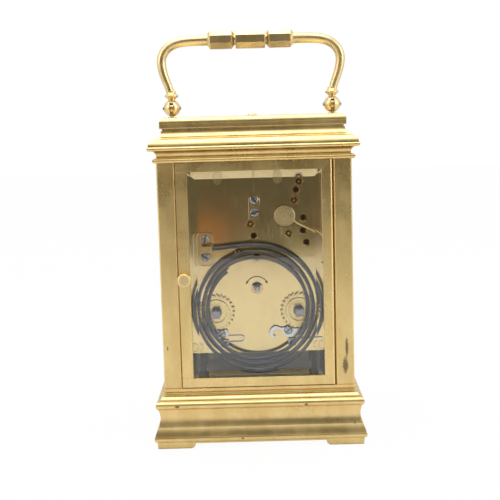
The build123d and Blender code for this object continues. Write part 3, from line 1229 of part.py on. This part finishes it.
with BuildPart() as balance_wheel:
    rod_z(BALANCE, PLATFORM[0] + 0.3, 129.0, 0.35)
    rod_z(BALANCE, 123.0, 127.6, 0.7)
    rod_z(BALANCE, 122.9, 123.3, 1.4)
    pin_x = BALANCE[0] - 0.95 * math.cos(toward_balance)
    pin_y = BALANCE[1] - 0.95 * math.sin(toward_balance)
    rod_z((pin_x, pin_y), 121.9, 122.9, 0.2)
    with BuildSketch(upright(BALANCE, 124.6)) as rim:
        Circle(8.2)
        Circle(7.2, mode=Mode.SUBTRACT)
        Rectangle(15.4, 1.2)
        Circle(1.4)
    extrude(rim.sketch, amount=1.0)
    with BuildSketch(upright(BALANCE, 125.1)) as rim_weights:
        with PolarLocations(8.6, 14, start_angle=12):
            Rectangle(1.0, 0.9)
    extrude(rim_weights.sketch, amount=0.4, both=True)
save(balance_wheel.part, "balance_wheel")

with BuildPart() as hairspring:
    ribbon(upright(BALANCE, 126.6), 1.0, 4.6, 8, 0.1, 0.5)
    with BuildSketch(upright(BALANCE, 126.6)) as collet:
        Circle(1.1)
        Circle(0.7 + SNUG, mode=Mode.SUBTRACT)
    extrude(collet.sketch, amount=0.5)
save(hairspring.part, "hairspring")

COCK_FOOT_Y = 17.6
with BuildPart() as balance_cock:
    with BuildSketch(upright((0, 0), 128.2)) as arm_plan:
        with Locations((BALANCE[0], BALANCE[1])):
            Circle(3.0)
        with BuildLine():
            Polyline((-3.0, 6.5), (3.0, 6.5), (5.0, 16.2), (5.0, 19.6), (-5.0, 19.6), (-5.0, 16.2),
                     close=True)
        make_face()
        with Locations(BALANCE):
            Circle(0.35 + FIT, mode=Mode.SUBTRACT)
        with Locations((0, COCK_FOOT_Y)):
            Circle(SMALL_SCREW + SNUG, mode=Mode.SUBTRACT)
    extrude(arm_plan.sketch, amount=1.2)
    block(-5.0, 5.0, 16.2, 19.6, PLATFORM[1], 128.2)
    rod_z((0, COCK_FOOT_Y), 125.6, 130, SMALL_SCREW + SNUG, mode=Mode.SUBTRACT)
    rod_z(BALANCE, 129.4, 130.2, 1.2)
    rod_z(BALANCE, 128.0, 129.6, 0.35 + FIT, mode=Mode.SUBTRACT)
save(balance_cock.part, "balance_cock")


def small_screw(seat):
    """One of the small screws that hold the clicks, their springs and the platform."""
    slotted_screw(seat, 1.7, 0.9, SMALL_SCREW, 3.4)


with BuildPart() as small_screws:
    small_screw(upright((0, COCK_FOOT_Y), 129.4))
    for spot in PLATFORM_SCREWS:
        small_screw(upright(spot, PLATFORM[1]))
    for spots, seat_y in (((STRIKE_CLICK, TIME_CLICK), CLICK_Y[1] + FIT),
                          (CLICK_SPRING_SCREWS, BACK_PLATE[1] + SPRING_THICK)):
        for spot in spots:
            small_screw(Plane(origin=(spot[0], seat_y, spot[1]), x_dir=(-1, 0, 0),
                              z_dir=(0, 1, 0)))
save(small_screws.part, "small_screws")

with BuildPart() as regulator_index:
    with BuildSketch(upright(BALANCE, 129.45)) as pointer:
        Circle(2.0)
        with BuildLine():
            Polyline((-0.5, 1.5), (-0.18, 8.2), (0.18, 8.2), (0.5, 1.5), close=True)
        make_face()
        with BuildLine():
            Polyline((-0.4, -1.5), (-0.4, -4.6), (0.4, -4.6), (0.4, -1.5), close=True)
        make_face()
        Circle(1.2 + FIT, mode=Mode.SUBTRACT)
    extrude(pointer.sketch, amount=0.45)
save(regulator_index.part, "regulator_index")
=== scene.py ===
"""Looks, light and camera for the brass carriage clock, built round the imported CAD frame."""
import json
import math
import bpy
from mathutils import Matrix, Vector

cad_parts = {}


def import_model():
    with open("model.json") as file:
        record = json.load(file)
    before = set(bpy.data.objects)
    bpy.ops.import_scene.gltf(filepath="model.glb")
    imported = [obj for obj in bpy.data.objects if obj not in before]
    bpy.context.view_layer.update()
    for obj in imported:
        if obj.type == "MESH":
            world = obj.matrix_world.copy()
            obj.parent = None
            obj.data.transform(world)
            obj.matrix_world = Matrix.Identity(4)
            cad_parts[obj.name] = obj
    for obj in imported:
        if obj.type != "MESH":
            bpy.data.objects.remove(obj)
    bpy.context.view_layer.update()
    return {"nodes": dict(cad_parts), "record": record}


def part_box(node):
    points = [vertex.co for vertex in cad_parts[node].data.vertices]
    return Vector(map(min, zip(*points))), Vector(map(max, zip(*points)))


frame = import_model()

MM = 0.001
WHITE = (1.0, 1.0, 1.0)


# ---------------------------------------------------------------- node helpers
class Nodes:
    """A node tree of a material or of the world, with short ways to add and join nodes."""

    def __init__(self, owner, output_kind):
        owner.use_nodes = True
        self.tree = owner.node_tree
        self.tree.nodes.clear()
        self.output = self.tree.nodes.new(output_kind)

    def node(self, kind, inputs=None, **settings):
        """New node, with its settings and its inputs, which are given by name or place."""
        made = self.tree.nodes.new(kind)
        for key, value in settings.items():
            setattr(made, key, value)
        for key, value in (inputs or {}).items():
            self.put(made.inputs[key], value)
        return made

    def put(self, socket, value):
        """Links a socket to the input, or sets it to a number, a vector or a colour."""
        if isinstance(value, bpy.types.NodeSocket):
            self.tree.links.new(value, socket)
        elif isinstance(value, tuple) and len(value) == 3 and socket.type == "RGBA":
            socket.default_value = (*value, 1.0)
        else:
            socket.default_value = value

    def ramp(self, value, low, high):
        """Smooth step of a value from 0 at low to 1 at high; low may be above high."""
        if low < high:
            result = (0.0, 1.0)
        else:
            low, high = high, low
            result = (1.0, 0.0)
        return self.node("ShaderNodeMapRange", {"Value": value, "From Min": low, "From Max": high,
                                                "To Min": result[0], "To Max": result[1]},
                         interpolation_type="SMOOTHSTEP").outputs["Result"]

    def math(self, operation, a, b=0.0):
        """A Math node; a and b are sockets or numbers."""
        return self.node("ShaderNodeMath", {0: a, 1: b}, operation=operation).outputs[0]

    def product(self, first, *others):
        """All values multiplied together."""
        for other in others:
            first = self.math("MULTIPLY", first, other)
        return first

    def mix(self, factor, a, b, data_type="RGBA"):
        """Colour a where the factor is 0 and colour b where it is 1."""
        made = self.node("ShaderNodeMix", {"Factor": factor}, data_type=data_type)
        self.put(made.inputs["A"], a)
        self.put(made.inputs["B"], b)
        return made.outputs["Result"]

    def blend(self, factor, a, b):
        """As mix, for two plain values."""
        return self.mix(factor, a, b, data_type="FLOAT")

    def show(self, shader):
        """Makes the shader the surface of the tree's owner."""
        self.tree.links.new(shader.outputs[0], self.output.inputs["Surface"])

    def show_mixed(self, factor, first, second):
        """Shows the first shader where the factor is 0 and the second where it is 1."""
        self.show(self.node("ShaderNodeMixShader",
                            {0: factor, 1: first.outputs[0], 2: second.outputs[0]}))

    def light_path(self, kind):
        """1 for one kind of ray, such as the camera's, 0 for all others."""
        return self.node("ShaderNodeLightPath").outputs[kind]


class Shader(Nodes):
    """The node tree of a new material, patterned by each piece's own coordinates in metres."""

    def __init__(self, name):
        self.material = bpy.data.materials.new(name)
        super().__init__(self.material, "ShaderNodeOutputMaterial")
        self.coords = self.node("ShaderNodeTexCoord").outputs["Object"]

    def scaled(self, x, y, z):
        """The coordinates with each axis stretched, for marks that run in one direction."""
        return self.node("ShaderNodeMapping", {"Vector": self.coords, "Scale": (x, y, z)}).outputs[0]

    def noise(self, cells, detail=3.0, rough=0.5, vector=None):
        """Cloudy noise with the given number of cells to a metre, or to a unit of the vector."""
        return self.node("ShaderNodeTexNoise", {"Vector": vector or self.coords, "Scale": cells,
                                                "Detail": detail, "Roughness": rough}).outputs["Fac"]

    def spots(self, cells, size):
        """White dots, one to a cell, with a radius of the given share of a cell."""
        grid = self.node("ShaderNodeTexVoronoi", {"Vector": self.coords, "Scale": cells})
        return self.ramp(grid.outputs["Distance"], size, size * 0.5)

    def crevice(self, distance, clear=0.75, shut=0.25):
        """1 in corners and under ledges, 0 on open surfaces.

        clear and shut are the shares of open sky at which the shade starts and is full.
        """
        shade = self.node("ShaderNodeAmbientOcclusion", {"Distance": distance}, samples=4)
        return self.ramp(shade.outputs["AO"], clear, shut)

    def sides(self):
        """1 on faces that look sideways, 0 on faces that look towards the door or the dial."""
        facing = self.node("ShaderNodeTexCoord").outputs["Normal"]
        front = self.node("ShaderNodeSeparateXYZ", {"Vector": facing}).outputs["Y"]
        turned_to, turned_away = 0.6, 0.3
        return self.ramp(self.math("ABSOLUTE", front), turned_to, turned_away)

    def soft_edges(self, radius):
        """Normals that round the edges of the piece by the radius."""
        return self.node("ShaderNodeBevel", {"Radius": radius}, samples=3).outputs["Normal"]

    def bump(self, height, strength, distance, normal=None):
        """Normals tilted by a height pattern, on top of other normals if given."""
        made = self.node("ShaderNodeBump", {"Height": height, "Strength": strength,
                                            "Distance": distance})
        if normal is not None:
            self.put(made.inputs["Normal"], normal)
        return made.outputs["Normal"]

    def axis(self, name):
        """The coordinate along X, Y or Z."""
        return self.node("ShaderNodeSeparateXYZ", {"Vector": self.coords}).outputs[name]

    def inside(self, low, high):
        """1 inside a box given in millimetres, 0 outside."""
        mask = 1.0
        for name, least, most in zip("XYZ", low, high):
            along = self.axis(name)
            mask = self.product(mask, self.math("GREATER_THAN", along, least * MM),
                                self.math("LESS_THAN", along, most * MM))
        return mask

    def patch(self, centre, reach):
        """Ragged spill mark: 1 at a spot in millimetres, fading out over its reach on each axis."""
        raggedness = 1.1
        outside, within = 1.45, 0.95
        away = self.node("ShaderNodeMapping", {
            "Vector": self.coords,
            "Location": tuple(-c / r for c, r in zip(centre, reach)),
            "Scale": tuple(1 / (r * MM) for r in reach)}).outputs[0]
        span = self.node("ShaderNodeVectorMath", {"Vector": away}, operation="LENGTH").outputs["Value"]
        frayed = self.product(self.noise(cells=900, detail=4, rough=0.7), raggedness)
        return self.ramp(self.math("ADD", span, frayed), outside, within)

    def principled(self, **inputs):
        """Principled shader, with its inputs given by name and _ for a space."""
        return self.node("ShaderNodeBsdfPrincipled",
                         {key.replace("_", " "): value for key, value in inputs.items()})


# ---------------------------------------------------------------- metals
PALE_GOLD = (0.84, 0.645, 0.30)
DEEP_GOLD = (0.70, 0.49, 0.19)
TARNISH_AND_CORNER_SHADE = (0.20, 0.085, 0.03)       # painted brown shade in corners, stronger in tarnished blotches, and tarnished spots
SPILL = (0.19, 0.135, 0.085)      # old splashes
DULL = (0.12, 0.11, 0.10)         # metal that was never polished
LIGHT_DULL = (0.18, 0.165, 0.15)
SUNK_SHADE = (0.70, 0.49, 0.23)        # painted shade on sunk surfaces
SHADE = (0.05, 0.035, 0.02)       # painted shade in deep cuts and on the sides of outlined pieces; the arrow is painted with it too
STEEL_GREY, STEEL_MARKS = (0.42, 0.43, 0.45), (0.20, 0.20, 0.21)
# Painted shade: near black in the corners and slots of steel.
STEEL_CORNER_SHADE = (0.02, 0.018, 0.016)
# Painted shade on the sides of outlined steel pieces.
STEEL_SIDE_SHADE = (0.03, 0.03, 0.035)
RUBBED_BLUE = (0.30, 0.27, 0.25)

PLATE_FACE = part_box("back_plate")[1][1] / MM     # its rear face has the sinks and the arrow
ARROW_BOX = ((-7.0, PLATE_FACE - 2.5, 68.5), (7.0, PLATE_FACE + 0.5, 76.0))
CORNER_SHADE_REACH = 2.5 * MM          # how far the painted corner shade reaches from a corner
STEEL_SHADE_REACH = 0.6 * MM
# How much of the steel the grey marks and the painted corner shade cover at their strongest.
MARK_COVER, CORNER_SHADE_COVER = 0.5, 0.95
MARK_ROUGHNESS = 0.15             # what marks add to the roughness of steel
FINE_RELIEF = 0.05 * MM           # height of scratches and pits

# How far a mark or painted shade covers the brass under it where it is at its strongest
HAZE_COVER, SPECK_COVER, SPILL_COVER, SIDE_SHADE_COVER = 0.25, 0.3, 0.85, 0.85
THINNEST_CORNER_SHADE = 0.25           # share of the painted corner shade left outside tarnished blotches
# What marks do to the roughness: worn brass is rougher by a ratio, the others add to it
WORN_ROUGHER, TARNISH_ROUGHNESS, SCRATCH_ROUGHNESS = 1.35, 0.28, 0.06
DULL_ROUGHNESS, DULL_METALLIC = 0.7, 0.15


def brass(name, pale=PALE_GOLD, deep=DEEP_GOLD, rough=0.27, shade_and_stain=0.5, grain=(260, 260, 60),
          grain_bump=0.05, edge=0.22, pits=0.5, cloudy=0.55, spills=(), dull=None, sunk=None,
          outlined=False):
    """Polished brass with uneven tone, brown painted shade in the corners, tarnished spots, pits and
    fine scratches.

    spills are dark stains as (centre, reach), dull is a box of unpolished grey metal and sunk
    the level under which the brass is painted darker as shade, fading to near black from half a
    millimetre to a millimetre lower, all in millimetres; the arrow is painted near black. The stain
    strength scales the painted corner shade and the tarnished spots. The sides of an outlined piece
    are painted dark as shade. edge is the radius of worn edges in millimetres.
    """
    s = Shader(name)
    cloud = s.noise(cells=1.0, detail=4, rough=0.6, vector=s.scaled(130, 130, 45))
    tone = s.mix(s.product(s.ramp(cloud, 0.35, 0.7), cloudy), pale, deep)
    haze = s.noise(cells=420, detail=3, rough=0.65)
    tone = s.mix(s.product(s.ramp(haze, 0.45, 0.75), HAZE_COVER), tone, deep)
    # Painted shade: corners and the undersides of ledges are darkened towards brown, most where there
    # are tarnished blotches; the specks are tarnished spots.
    corners = s.crevice(CORNER_SHADE_REACH)
    blotch = s.ramp(s.noise(cells=150, detail=5, rough=0.7), 0.5, 0.72)
    speckled = s.ramp(s.noise(cells=120, detail=2), 0.6, 0.7)
    specks = s.product(s.spots(cells=900, size=0.22), speckled)
    tarnish_and_shade = s.math("ADD", s.product(corners, s.blend(blotch, THINNEST_CORNER_SHADE, 1.0)),
                     s.product(specks, SPECK_COVER))
    tarnish_and_shade = s.math("MINIMUM", s.product(tarnish_and_shade, shade_and_stain), 1.0)
    colour = s.mix(tarnish_and_shade, tone, TARNISH_AND_CORNER_SHADE)
    for centre, reach in spills:
        spill = s.patch(centre, reach)
        colour = s.mix(s.product(spill, SPILL_COVER), colour, SPILL)
        tarnish_and_shade = s.math("MAXIMUM", tarnish_and_shade, spill)
    # Painted shade: the sides of an outlined piece are darkened.
    if outlined:
        colour = s.mix(s.product(s.sides(), SIDE_SHADE_COVER), colour, SHADE)
    scratch = s.noise(cells=3.0, detail=2, rough=0.5, vector=s.scaled(*grain))
    wear = s.ramp(s.noise(cells=90), 0.35, 0.7)
    roughness = s.math("ADD", s.blend(wear, rough, rough * WORN_ROUGHER),
                       s.product(tarnish_and_shade, TARNISH_ROUGHNESS))
    roughness = s.math("ADD", roughness, s.product(s.ramp(scratch, 0.55, 0.8), SCRATCH_ROUGHNESS))
    metal = 1.0
    # Painted shade: below the level sunk the brass is painted darker, near black further down; the
    # arrow is painted near black.
    if sunk is not None:
        depth = s.axis("Y")
        shallow, deep_enough = (sunk - 0.5) * MM, (sunk - 1.0) * MM
        deep_cut = s.ramp(depth, shallow, deep_enough)
        sunk_shade = s.mix(s.math("MAXIMUM", deep_cut, s.inside(*ARROW_BOX)), SUNK_SHADE, SHADE)
        colour = s.mix(s.math("LESS_THAN", depth, sunk * MM), colour, sunk_shade)
    if dull is not None:
        unpolished = s.inside(*dull)
        grit = s.mix(s.noise(cells=260, detail=4, rough=0.7), DULL, LIGHT_DULL)
        colour = s.mix(unpolished, colour, grit)
        roughness = s.blend(unpolished, roughness, DULL_ROUGHNESS)
        metal = s.blend(unpolished, 1.0, DULL_METALLIC)
    normal = s.soft_edges(edge * MM)
    normal = s.bump(scratch, strength=grain_bump, distance=FINE_RELIEF, normal=normal)
    pit = s.spots(cells=1500, size=0.16)
    normal = s.bump(pit, strength=-0.4 * pits, distance=FINE_RELIEF, normal=normal)
    waviness = s.noise(cells=70, detail=2)
    normal = s.bump(waviness, strength=0.012, distance=0.4 * MM, normal=normal)
    s.show(s.principled(Base_Color=colour, Metallic=metal, Roughness=roughness, Normal=normal))
    return s.material


def steel(name, colour=STEEL_GREY, dark=STEEL_MARKS, rough=0.24, edge=0.12, outlined=False):
    """Polished steel with faint grey marks, hair scratches, and painted shade in its corners and slots
    and on the sides of an outlined piece.
    """
    s = Shader(name)
    marks = s.ramp(s.noise(cells=500, detail=4, rough=0.7), 0.5, 0.75)
    # Painted shade in corners and slots.
    corners = s.crevice(STEEL_SHADE_REACH, clear=0.9, shut=0.5)
    tone = s.mix(s.product(marks, MARK_COVER), colour, dark)
    tone = s.mix(s.product(corners, CORNER_SHADE_COVER), tone, STEEL_CORNER_SHADE)
    # Painted shade on the sides of an outlined piece.
    if outlined:
        tone = s.mix(s.sides(), tone, STEEL_SIDE_SHADE)
    scratch = s.noise(cells=4.0, detail=2, rough=0.5, vector=s.scaled(900, 900, 120))
    normal = s.bump(scratch, strength=0.03, distance=0.02 * MM, normal=s.soft_edges(edge * MM))
    roughness = s.blend(marks, rough, rough + MARK_ROUGHNESS)
    s.show(s.principled(Base_Color=tone, Metallic=1.0, Roughness=roughness, Normal=normal))
    return s.material


def blued(name, blue=(0.05, 0.065, 0.13), grey=(0.11, 0.11, 0.13), rough=0.26):
    """Heat-blued steel, shading from blue to slate grey in soft patches, rubbed bare in spots."""
    s = Shader(name)
    shift = s.ramp(s.noise(cells=60), 0.35, 0.65)
    wear = s.ramp(s.noise(cells=600, detail=4, rough=0.7), 0.58, 0.72)
    tone = s.mix(shift, blue, grey)
    tone = s.mix(s.product(wear, 0.35), tone, RUBBED_BLUE)
    roughness = s.blend(wear, rough, 0.45)
    normal = s.bump(s.noise(cells=900), strength=0.08, distance=0.04 * MM)
    s.show(s.principled(Base_Color=tone, Metallic=1.0, Roughness=roughness, Normal=normal))
    return s.material


def enamel():
    """Glossy white enamel with black fired figures standing just proud of it."""
    fresh, aged = (0.90, 0.89, 0.85), (0.84, 0.825, 0.77)
    fleck, ink = (0.35, 0.30, 0.24), (0.012, 0.012, 0.014)
    ink_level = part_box("dial_plate")[0][1] + 0.04 * MM
    s = Shader("enamel_dial")
    figures = s.math("LESS_THAN", s.axis("Y"), ink_level)
    cream = s.mix(s.ramp(s.noise(cells=45), 0.4, 0.7), fresh, aged)
    flecked = s.ramp(s.noise(cells=60, detail=2), 0.5, 0.6)
    cream = s.mix(s.product(s.spots(cells=700, size=0.08), flecked, 0.6), cream, fleck)
    colour = s.mix(figures, cream, ink)
    ripple = s.bump(s.noise(cells=180, detail=2), strength=0.05, distance=0.2 * MM)
    s.show(s.principled(Base_Color=colour, Roughness=s.blend(figures, 0.12, 0.3), Coat_Weight=0.5,
                        Coat_Roughness=0.04, Normal=ripple))
    return s.material


def glass():
    """Clear plate glass that lets lamp light through to the movement."""
    clear_tint, shadow_tint = (0.985, 0.995, 0.99), (0.93, 0.95, 0.94)
    s = Shader("bevelled_glass")
    wipe = s.ramp(s.noise(cells=35, detail=4, rough=0.6), 0.55, 0.8)
    dusty = s.ramp(s.noise(cells=150, detail=2), 0.5, 0.65)
    dust = s.product(s.spots(cells=1100, size=0.07), dusty)
    roughness = s.math("ADD", s.product(wipe, 0.012), s.product(dust, 0.2))
    body = s.principled(Base_Color=clear_tint, Roughness=roughness, IOR=1.5, Transmission_Weight=1.0)
    clear = s.node("ShaderNodeBsdfTransparent", {"Color": shadow_tint})
    s.show_mixed(s.light_path("Is Shadow Ray"), body, clear)
    return s.material


PILLAR_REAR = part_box("corner_pillars")[1][1] / MM
PLINTH_REAR = 39.5                # at the height of the hollow moulding
CASE_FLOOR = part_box("base_plinth")[1][2] / MM
PILLAR_SPILLS = (((-37.5, PILLAR_REAR, 34.5), (1.7, 3.0, 5.0)),
                 ((-38.2, PILLAR_REAR, 42.5), (0.9, 2.0, 6.0)),
                 ((-36.6, PILLAR_REAR, 117.5), (0.8, 2.0, 1.2)),
                 ((39.4, PILLAR_REAR, 44.0), (0.5, 2.0, 1.4)))
PLINTH_SPILLS = (((36.0, PLINTH_REAR, 19.0), (1.6, 3.0, 1.0)),
                 ((-20.0, PLINTH_REAR, 18.5), (1.2, 3.0, 0.9)),
                 ((-41.0, PLINTH_REAR, 10.0), (1.4, 4.0, 1.6)),
                 ((8.0, PLINTH_REAR, 4.5), (1.1, 3.0, 0.8)))
INNER_FLOOR = ((-34.0, -31.9, CASE_FLOOR - 0.1), (34.0, 32.4, CASE_FLOOR + 0.1))
WORK_GOLDS = {"pale": (0.83, 0.66, 0.33), "deep": (0.66, 0.46, 0.18)}

CASE = brass("case_brass_polished")
PILLARS = brass("pillar_brass", spills=PILLAR_SPILLS, edge=0.3)
PLINTH = brass("plinth_brass", shade_and_stain=0.65, spills=PLINTH_SPILLS, dull=INNER_FLOOR)
FRAME = brass("door_frame_brass", rough=0.25, shade_and_stain=0.6, grain=(300, 300, 40))
HANDLE = brass("handle_brass", pale=(0.82, 0.66, 0.36), rough=0.3, shade_and_stain=0.5, grain=(60, 90, 90),
               grain_bump=0.015, edge=0.3, pits=0.15)
PLATE = brass("plate_brass_satin", pale=(0.78, 0.61, 0.31), deep=(0.70, 0.52, 0.24), rough=0.1,
              shade_and_stain=0.5, grain=(500, 500, 30), grain_bump=0.008, edge=0.1, pits=0.04, cloudy=0.3,
              sunk=PLATE_FACE - 0.04)
FITTING = brass("fitting_brass_satin", pale=(0.88, 0.70, 0.38), deep=(0.76, 0.56, 0.26), rough=0.26,
                shade_and_stain=0.6, grain=(500, 500, 60), edge=0.08, pits=0.2, outlined=True)
BRACKET = brass("bracket_brass", pale=(0.70, 0.53, 0.26), deep=(0.58, 0.42, 0.19), rough=0.16,
                shade_and_stain=0.7, edge=0.12, pits=0.2)
WORK = brass("movement_brass", rough=0.2, shade_and_stain=0.7, edge=0.08, pits=0.2, **WORK_GOLDS)
GILT = brass("gilt_mask", pale=(0.88, 0.69, 0.33), deep=(0.80, 0.58, 0.25), rough=0.34, shade_and_stain=0.3,
             grain=(700, 700, 700), grain_bump=0.35, edge=0.15)
RATCHET = brass("ratchet_brass", rough=0.2, shade_and_stain=0.9, edge=0.05, pits=0.2, outlined=True,
                **WORK_GOLDS)
STEEL = steel("polished_steel")
CLICK_STEEL = steel("click_steel", colour=(0.66, 0.66, 0.67), dark=(0.45, 0.45, 0.46), rough=0.2,
                    edge=0.05, outlined=True)
SQUARE_STEEL = steel("square_steel", colour=(0.30, 0.30, 0.31), dark=(0.15, 0.145, 0.14))
# Painted shade: the steel of the seat posts is painted dark for the shade under the movement.
SHADED_POST_STEEL = steel("shaded_post_steel", colour=(0.22, 0.215, 0.21), dark=(0.15, 0.145, 0.14), rough=0.6)
BLUED_HANDS = blued("blued_steel_hands", blue=(0.02, 0.035, 0.16), grey=(0.03, 0.03, 0.08))
GONG_STEEL = blued("gong_steel", blue=(0.075, 0.09, 0.135), grey=(0.13, 0.13, 0.14), rough=0.28)
ENAMEL = enamel()
GLASS = glass()

# Finishes of single nodes; every other node takes the one of its slot in the record.
LOOKS = {
    "base_plinth": PLINTH, "corner_pillars": PILLARS, "seat_posts": SHADED_POST_STEEL,
    "gong_block": BRACKET, "spring_bracket": BRACKET, "hammer": FITTING,
    "time_ratchet": RATCHET, "strike_ratchet": RATCHET, "time_click": CLICK_STEEL,
    "strike_click": CLICK_STEEL, "click_springs": CLICK_STEEL, "time_arbor": SQUARE_STEEL,
    "strike_arbor": SQUARE_STEEL,
    "rear_door_frame": FRAME, "door_knob": HANDLE, "handle_bail": HANDLE, "handle_posts": HANDLE,
    "repeat_button": HANDLE, "back_plate": PLATE, "front_plate": PLATE, "platform_plate": PLATE,
    "dial_mask": GILT, "dial_plate": ENAMEL, "gong_coil": GONG_STEEL, "hairspring": BLUED_HANDS,
    "hour_hand": BLUED_HANDS, "minute_hand": BLUED_HANDS,
}
BY_SLOT = {"case_brass": CASE, "plate_brass": PLATE, "movement_brass": WORK, "gilt": GILT,
           "steel": STEEL, "blued_steel": GONG_STEEL, "enamel": ENAMEL, "glass": GLASS}

slot_of = {part["node"]: part["material_slot"] for part in frame["record"]["subparts"]}
for node_name, thing in frame["nodes"].items():
    look = LOOKS.get(node_name) or BY_SLOT[slot_of[node_name]]
    for slot in thing.material_slots:
        slot.material = look


# ---------------------------------------------------------------- table and room
def floor():
    """Pale table top; it ends behind the camera, and runs far back beyond the clock."""
    near, far, side = 0.62, -2.5, 2.5
    pale, paler = (0.62, 0.615, 0.60), (0.66, 0.655, 0.64)
    share_of_white = 0.97
    mesh = bpy.data.meshes.new("table_top")
    mesh.from_pydata([(-side, far, 0), (side, far, 0), (side, near, 0), (-side, near, 0)], [],
                     [(0, 1, 2, 3)])
    top = bpy.data.objects.new("table_top", mesh)
    bpy.context.collection.objects.link(top)
    s = Shader("pale_table")
    speckle = s.noise(cells=900, detail=2)
    tone = s.mix(s.ramp(speckle, 0.4, 0.7), paler, pale)
    grain = s.bump(speckle, strength=0.05, distance=0.1 * MM)
    lit = s.principled(Base_Color=tone, Roughness=0.6, Normal=grain)
    glow = s.node("ShaderNodeEmission", {"Color": WHITE, "Strength": 1.0})
    s.show_mixed(s.product(s.light_path("Is Camera Ray"), share_of_white), lit, glow)
    mesh.materials.append(s.material)


DIM_ROOM = (0.12, 0.113, 0.085)
WARM_WALL = (0.24, 0.15, 0.09)
LAMP_GLINT = (0.55, 0.21, 0.07)
FRONT_ROOM = (0.40, 0.385, 0.375)


def world():
    """White studio; the room behind the camera is dim, which gives the brass its dark tones.

    A zone of the room is a range of directions from the clock: +Y is towards the camera, +Z is
    up, and a smooth step on each axis runs from 0 to 1.
    """
    studio = bpy.data.worlds.new("studio")
    bpy.context.scene.world = studio
    s = Nodes(studio, "ShaderNodeOutputWorld")
    direction = s.node("ShaderNodeTexCoord").outputs["Generated"]
    x, y, z = s.node("ShaderNodeSeparateXYZ", {"Vector": direction}).outputs

    def band(value, start, full, fade, end):
        """1 from full to fade, 0 below start and above end."""
        return s.product(s.ramp(value, start, full), s.ramp(value, end, fade))

    room = s.product(s.ramp(y, 0.2, 0.6), band(z, start=-0.6, full=-0.3, fade=0.36, end=0.75))
    tint = s.mix(room, WHITE, DIM_ROOM)
    tint = s.mix(s.product(room, s.ramp(x, 0.05, 0.35)), tint, WARM_WALL)
    glint = s.product(band(x, start=0.015, full=0.045, fade=0.06, end=0.09),
                      band(z, start=-0.135, full=-0.12, fade=-0.105, end=-0.085))
    tint = s.mix(s.product(room, glint), tint, LAMP_GLINT)
    front_share = 0.7
    front = s.product(s.ramp(y, -0.5, -0.8), s.ramp(z, 0.45, 0.15), front_share)
    tint = s.mix(front, tint, FRONT_ROOM)
    lit = s.node("ShaderNodeBackground", {"Color": tint, "Strength": 1.0})
    seen = s.node("ShaderNodeBackground", {"Color": WHITE, "Strength": 1.0})
    s.show_mixed(s.light_path("Is Camera Ray"), lit, seen)


def lamp(name, place, aim, wide, tall, power):
    """Soft rectangular studio lamp pointed at a spot, in metres and watts."""
    data = bpy.data.lights.new(name, "AREA")
    data.shape = "RECTANGLE"
    data.size = wide
    data.size_y = tall
    data.energy = power
    thing = bpy.data.objects.new(name, data)
    thing.location = place
    thing.rotation_euler = (Vector(aim) - Vector(place)).to_track_quat("-Z", "Y").to_euler()
    bpy.context.collection.objects.link(thing)


floor()
world()
lamp("top_box", place=(0.1, 0.1, 1.1), aim=(0, 0, 0.05), wide=1.2, tall=1.0, power=8.0)
lamp("left_box", place=(0.9, 0.55, 0.5), aim=(0, 0, 0.08), wide=0.5, tall=0.8, power=3.0)
lamp("right_box", place=(-0.9, 0.5, 0.45), aim=(0, 0, 0.08), wide=0.5, tall=0.8, power=4.0)


# ---------------------------------------------------------------- camera
CAMERA_PLACE = (0.0011, 0.43478, 0.13863)      # metres, at the height of the lid
CAMERA_PITCH, CAMERA_YAW, CAMERA_ROLL = 7.5, 0.212, -1.577      # degrees
SENSOR_WIDTH, FOCAL_LENGTH = 36.0, 67.87       # millimetres
NEAREST_SEEN = 0.01                            # metres


def camera():
    """Camera at the photograph's viewpoint, looking slightly down at the rear door."""
    pitch, yaw, roll = (math.radians(a) for a in (CAMERA_PITCH, CAMERA_YAW, CAMERA_ROLL))
    back = Vector((-math.sin(yaw) * math.cos(pitch), math.cos(yaw) * math.cos(pitch),
                   math.sin(pitch)))
    level = Vector((-math.cos(yaw), -math.sin(yaw), 0))
    raised = Vector((math.sin(yaw) * math.sin(pitch), -math.cos(yaw) * math.sin(pitch),
                     math.cos(pitch)))
    right = math.cos(roll) * level + math.sin(roll) * raised
    up = -math.sin(roll) * level + math.cos(roll) * raised
    turn = Matrix((right, up, back)).transposed().to_4x4()
    data = bpy.data.cameras.new("photo_camera")
    data.sensor_width = SENSOR_WIDTH
    data.lens = FOCAL_LENGTH
    data.clip_start = NEAREST_SEEN
    thing = bpy.data.objects.new("photo_camera", data)
    thing.matrix_world = Matrix.Translation(CAMERA_PLACE) @ turn
    bpy.context.collection.objects.link(thing)
    bpy.context.scene.camera = thing


camera()
bpy.context.scene.view_settings.view_transform = "Standard"
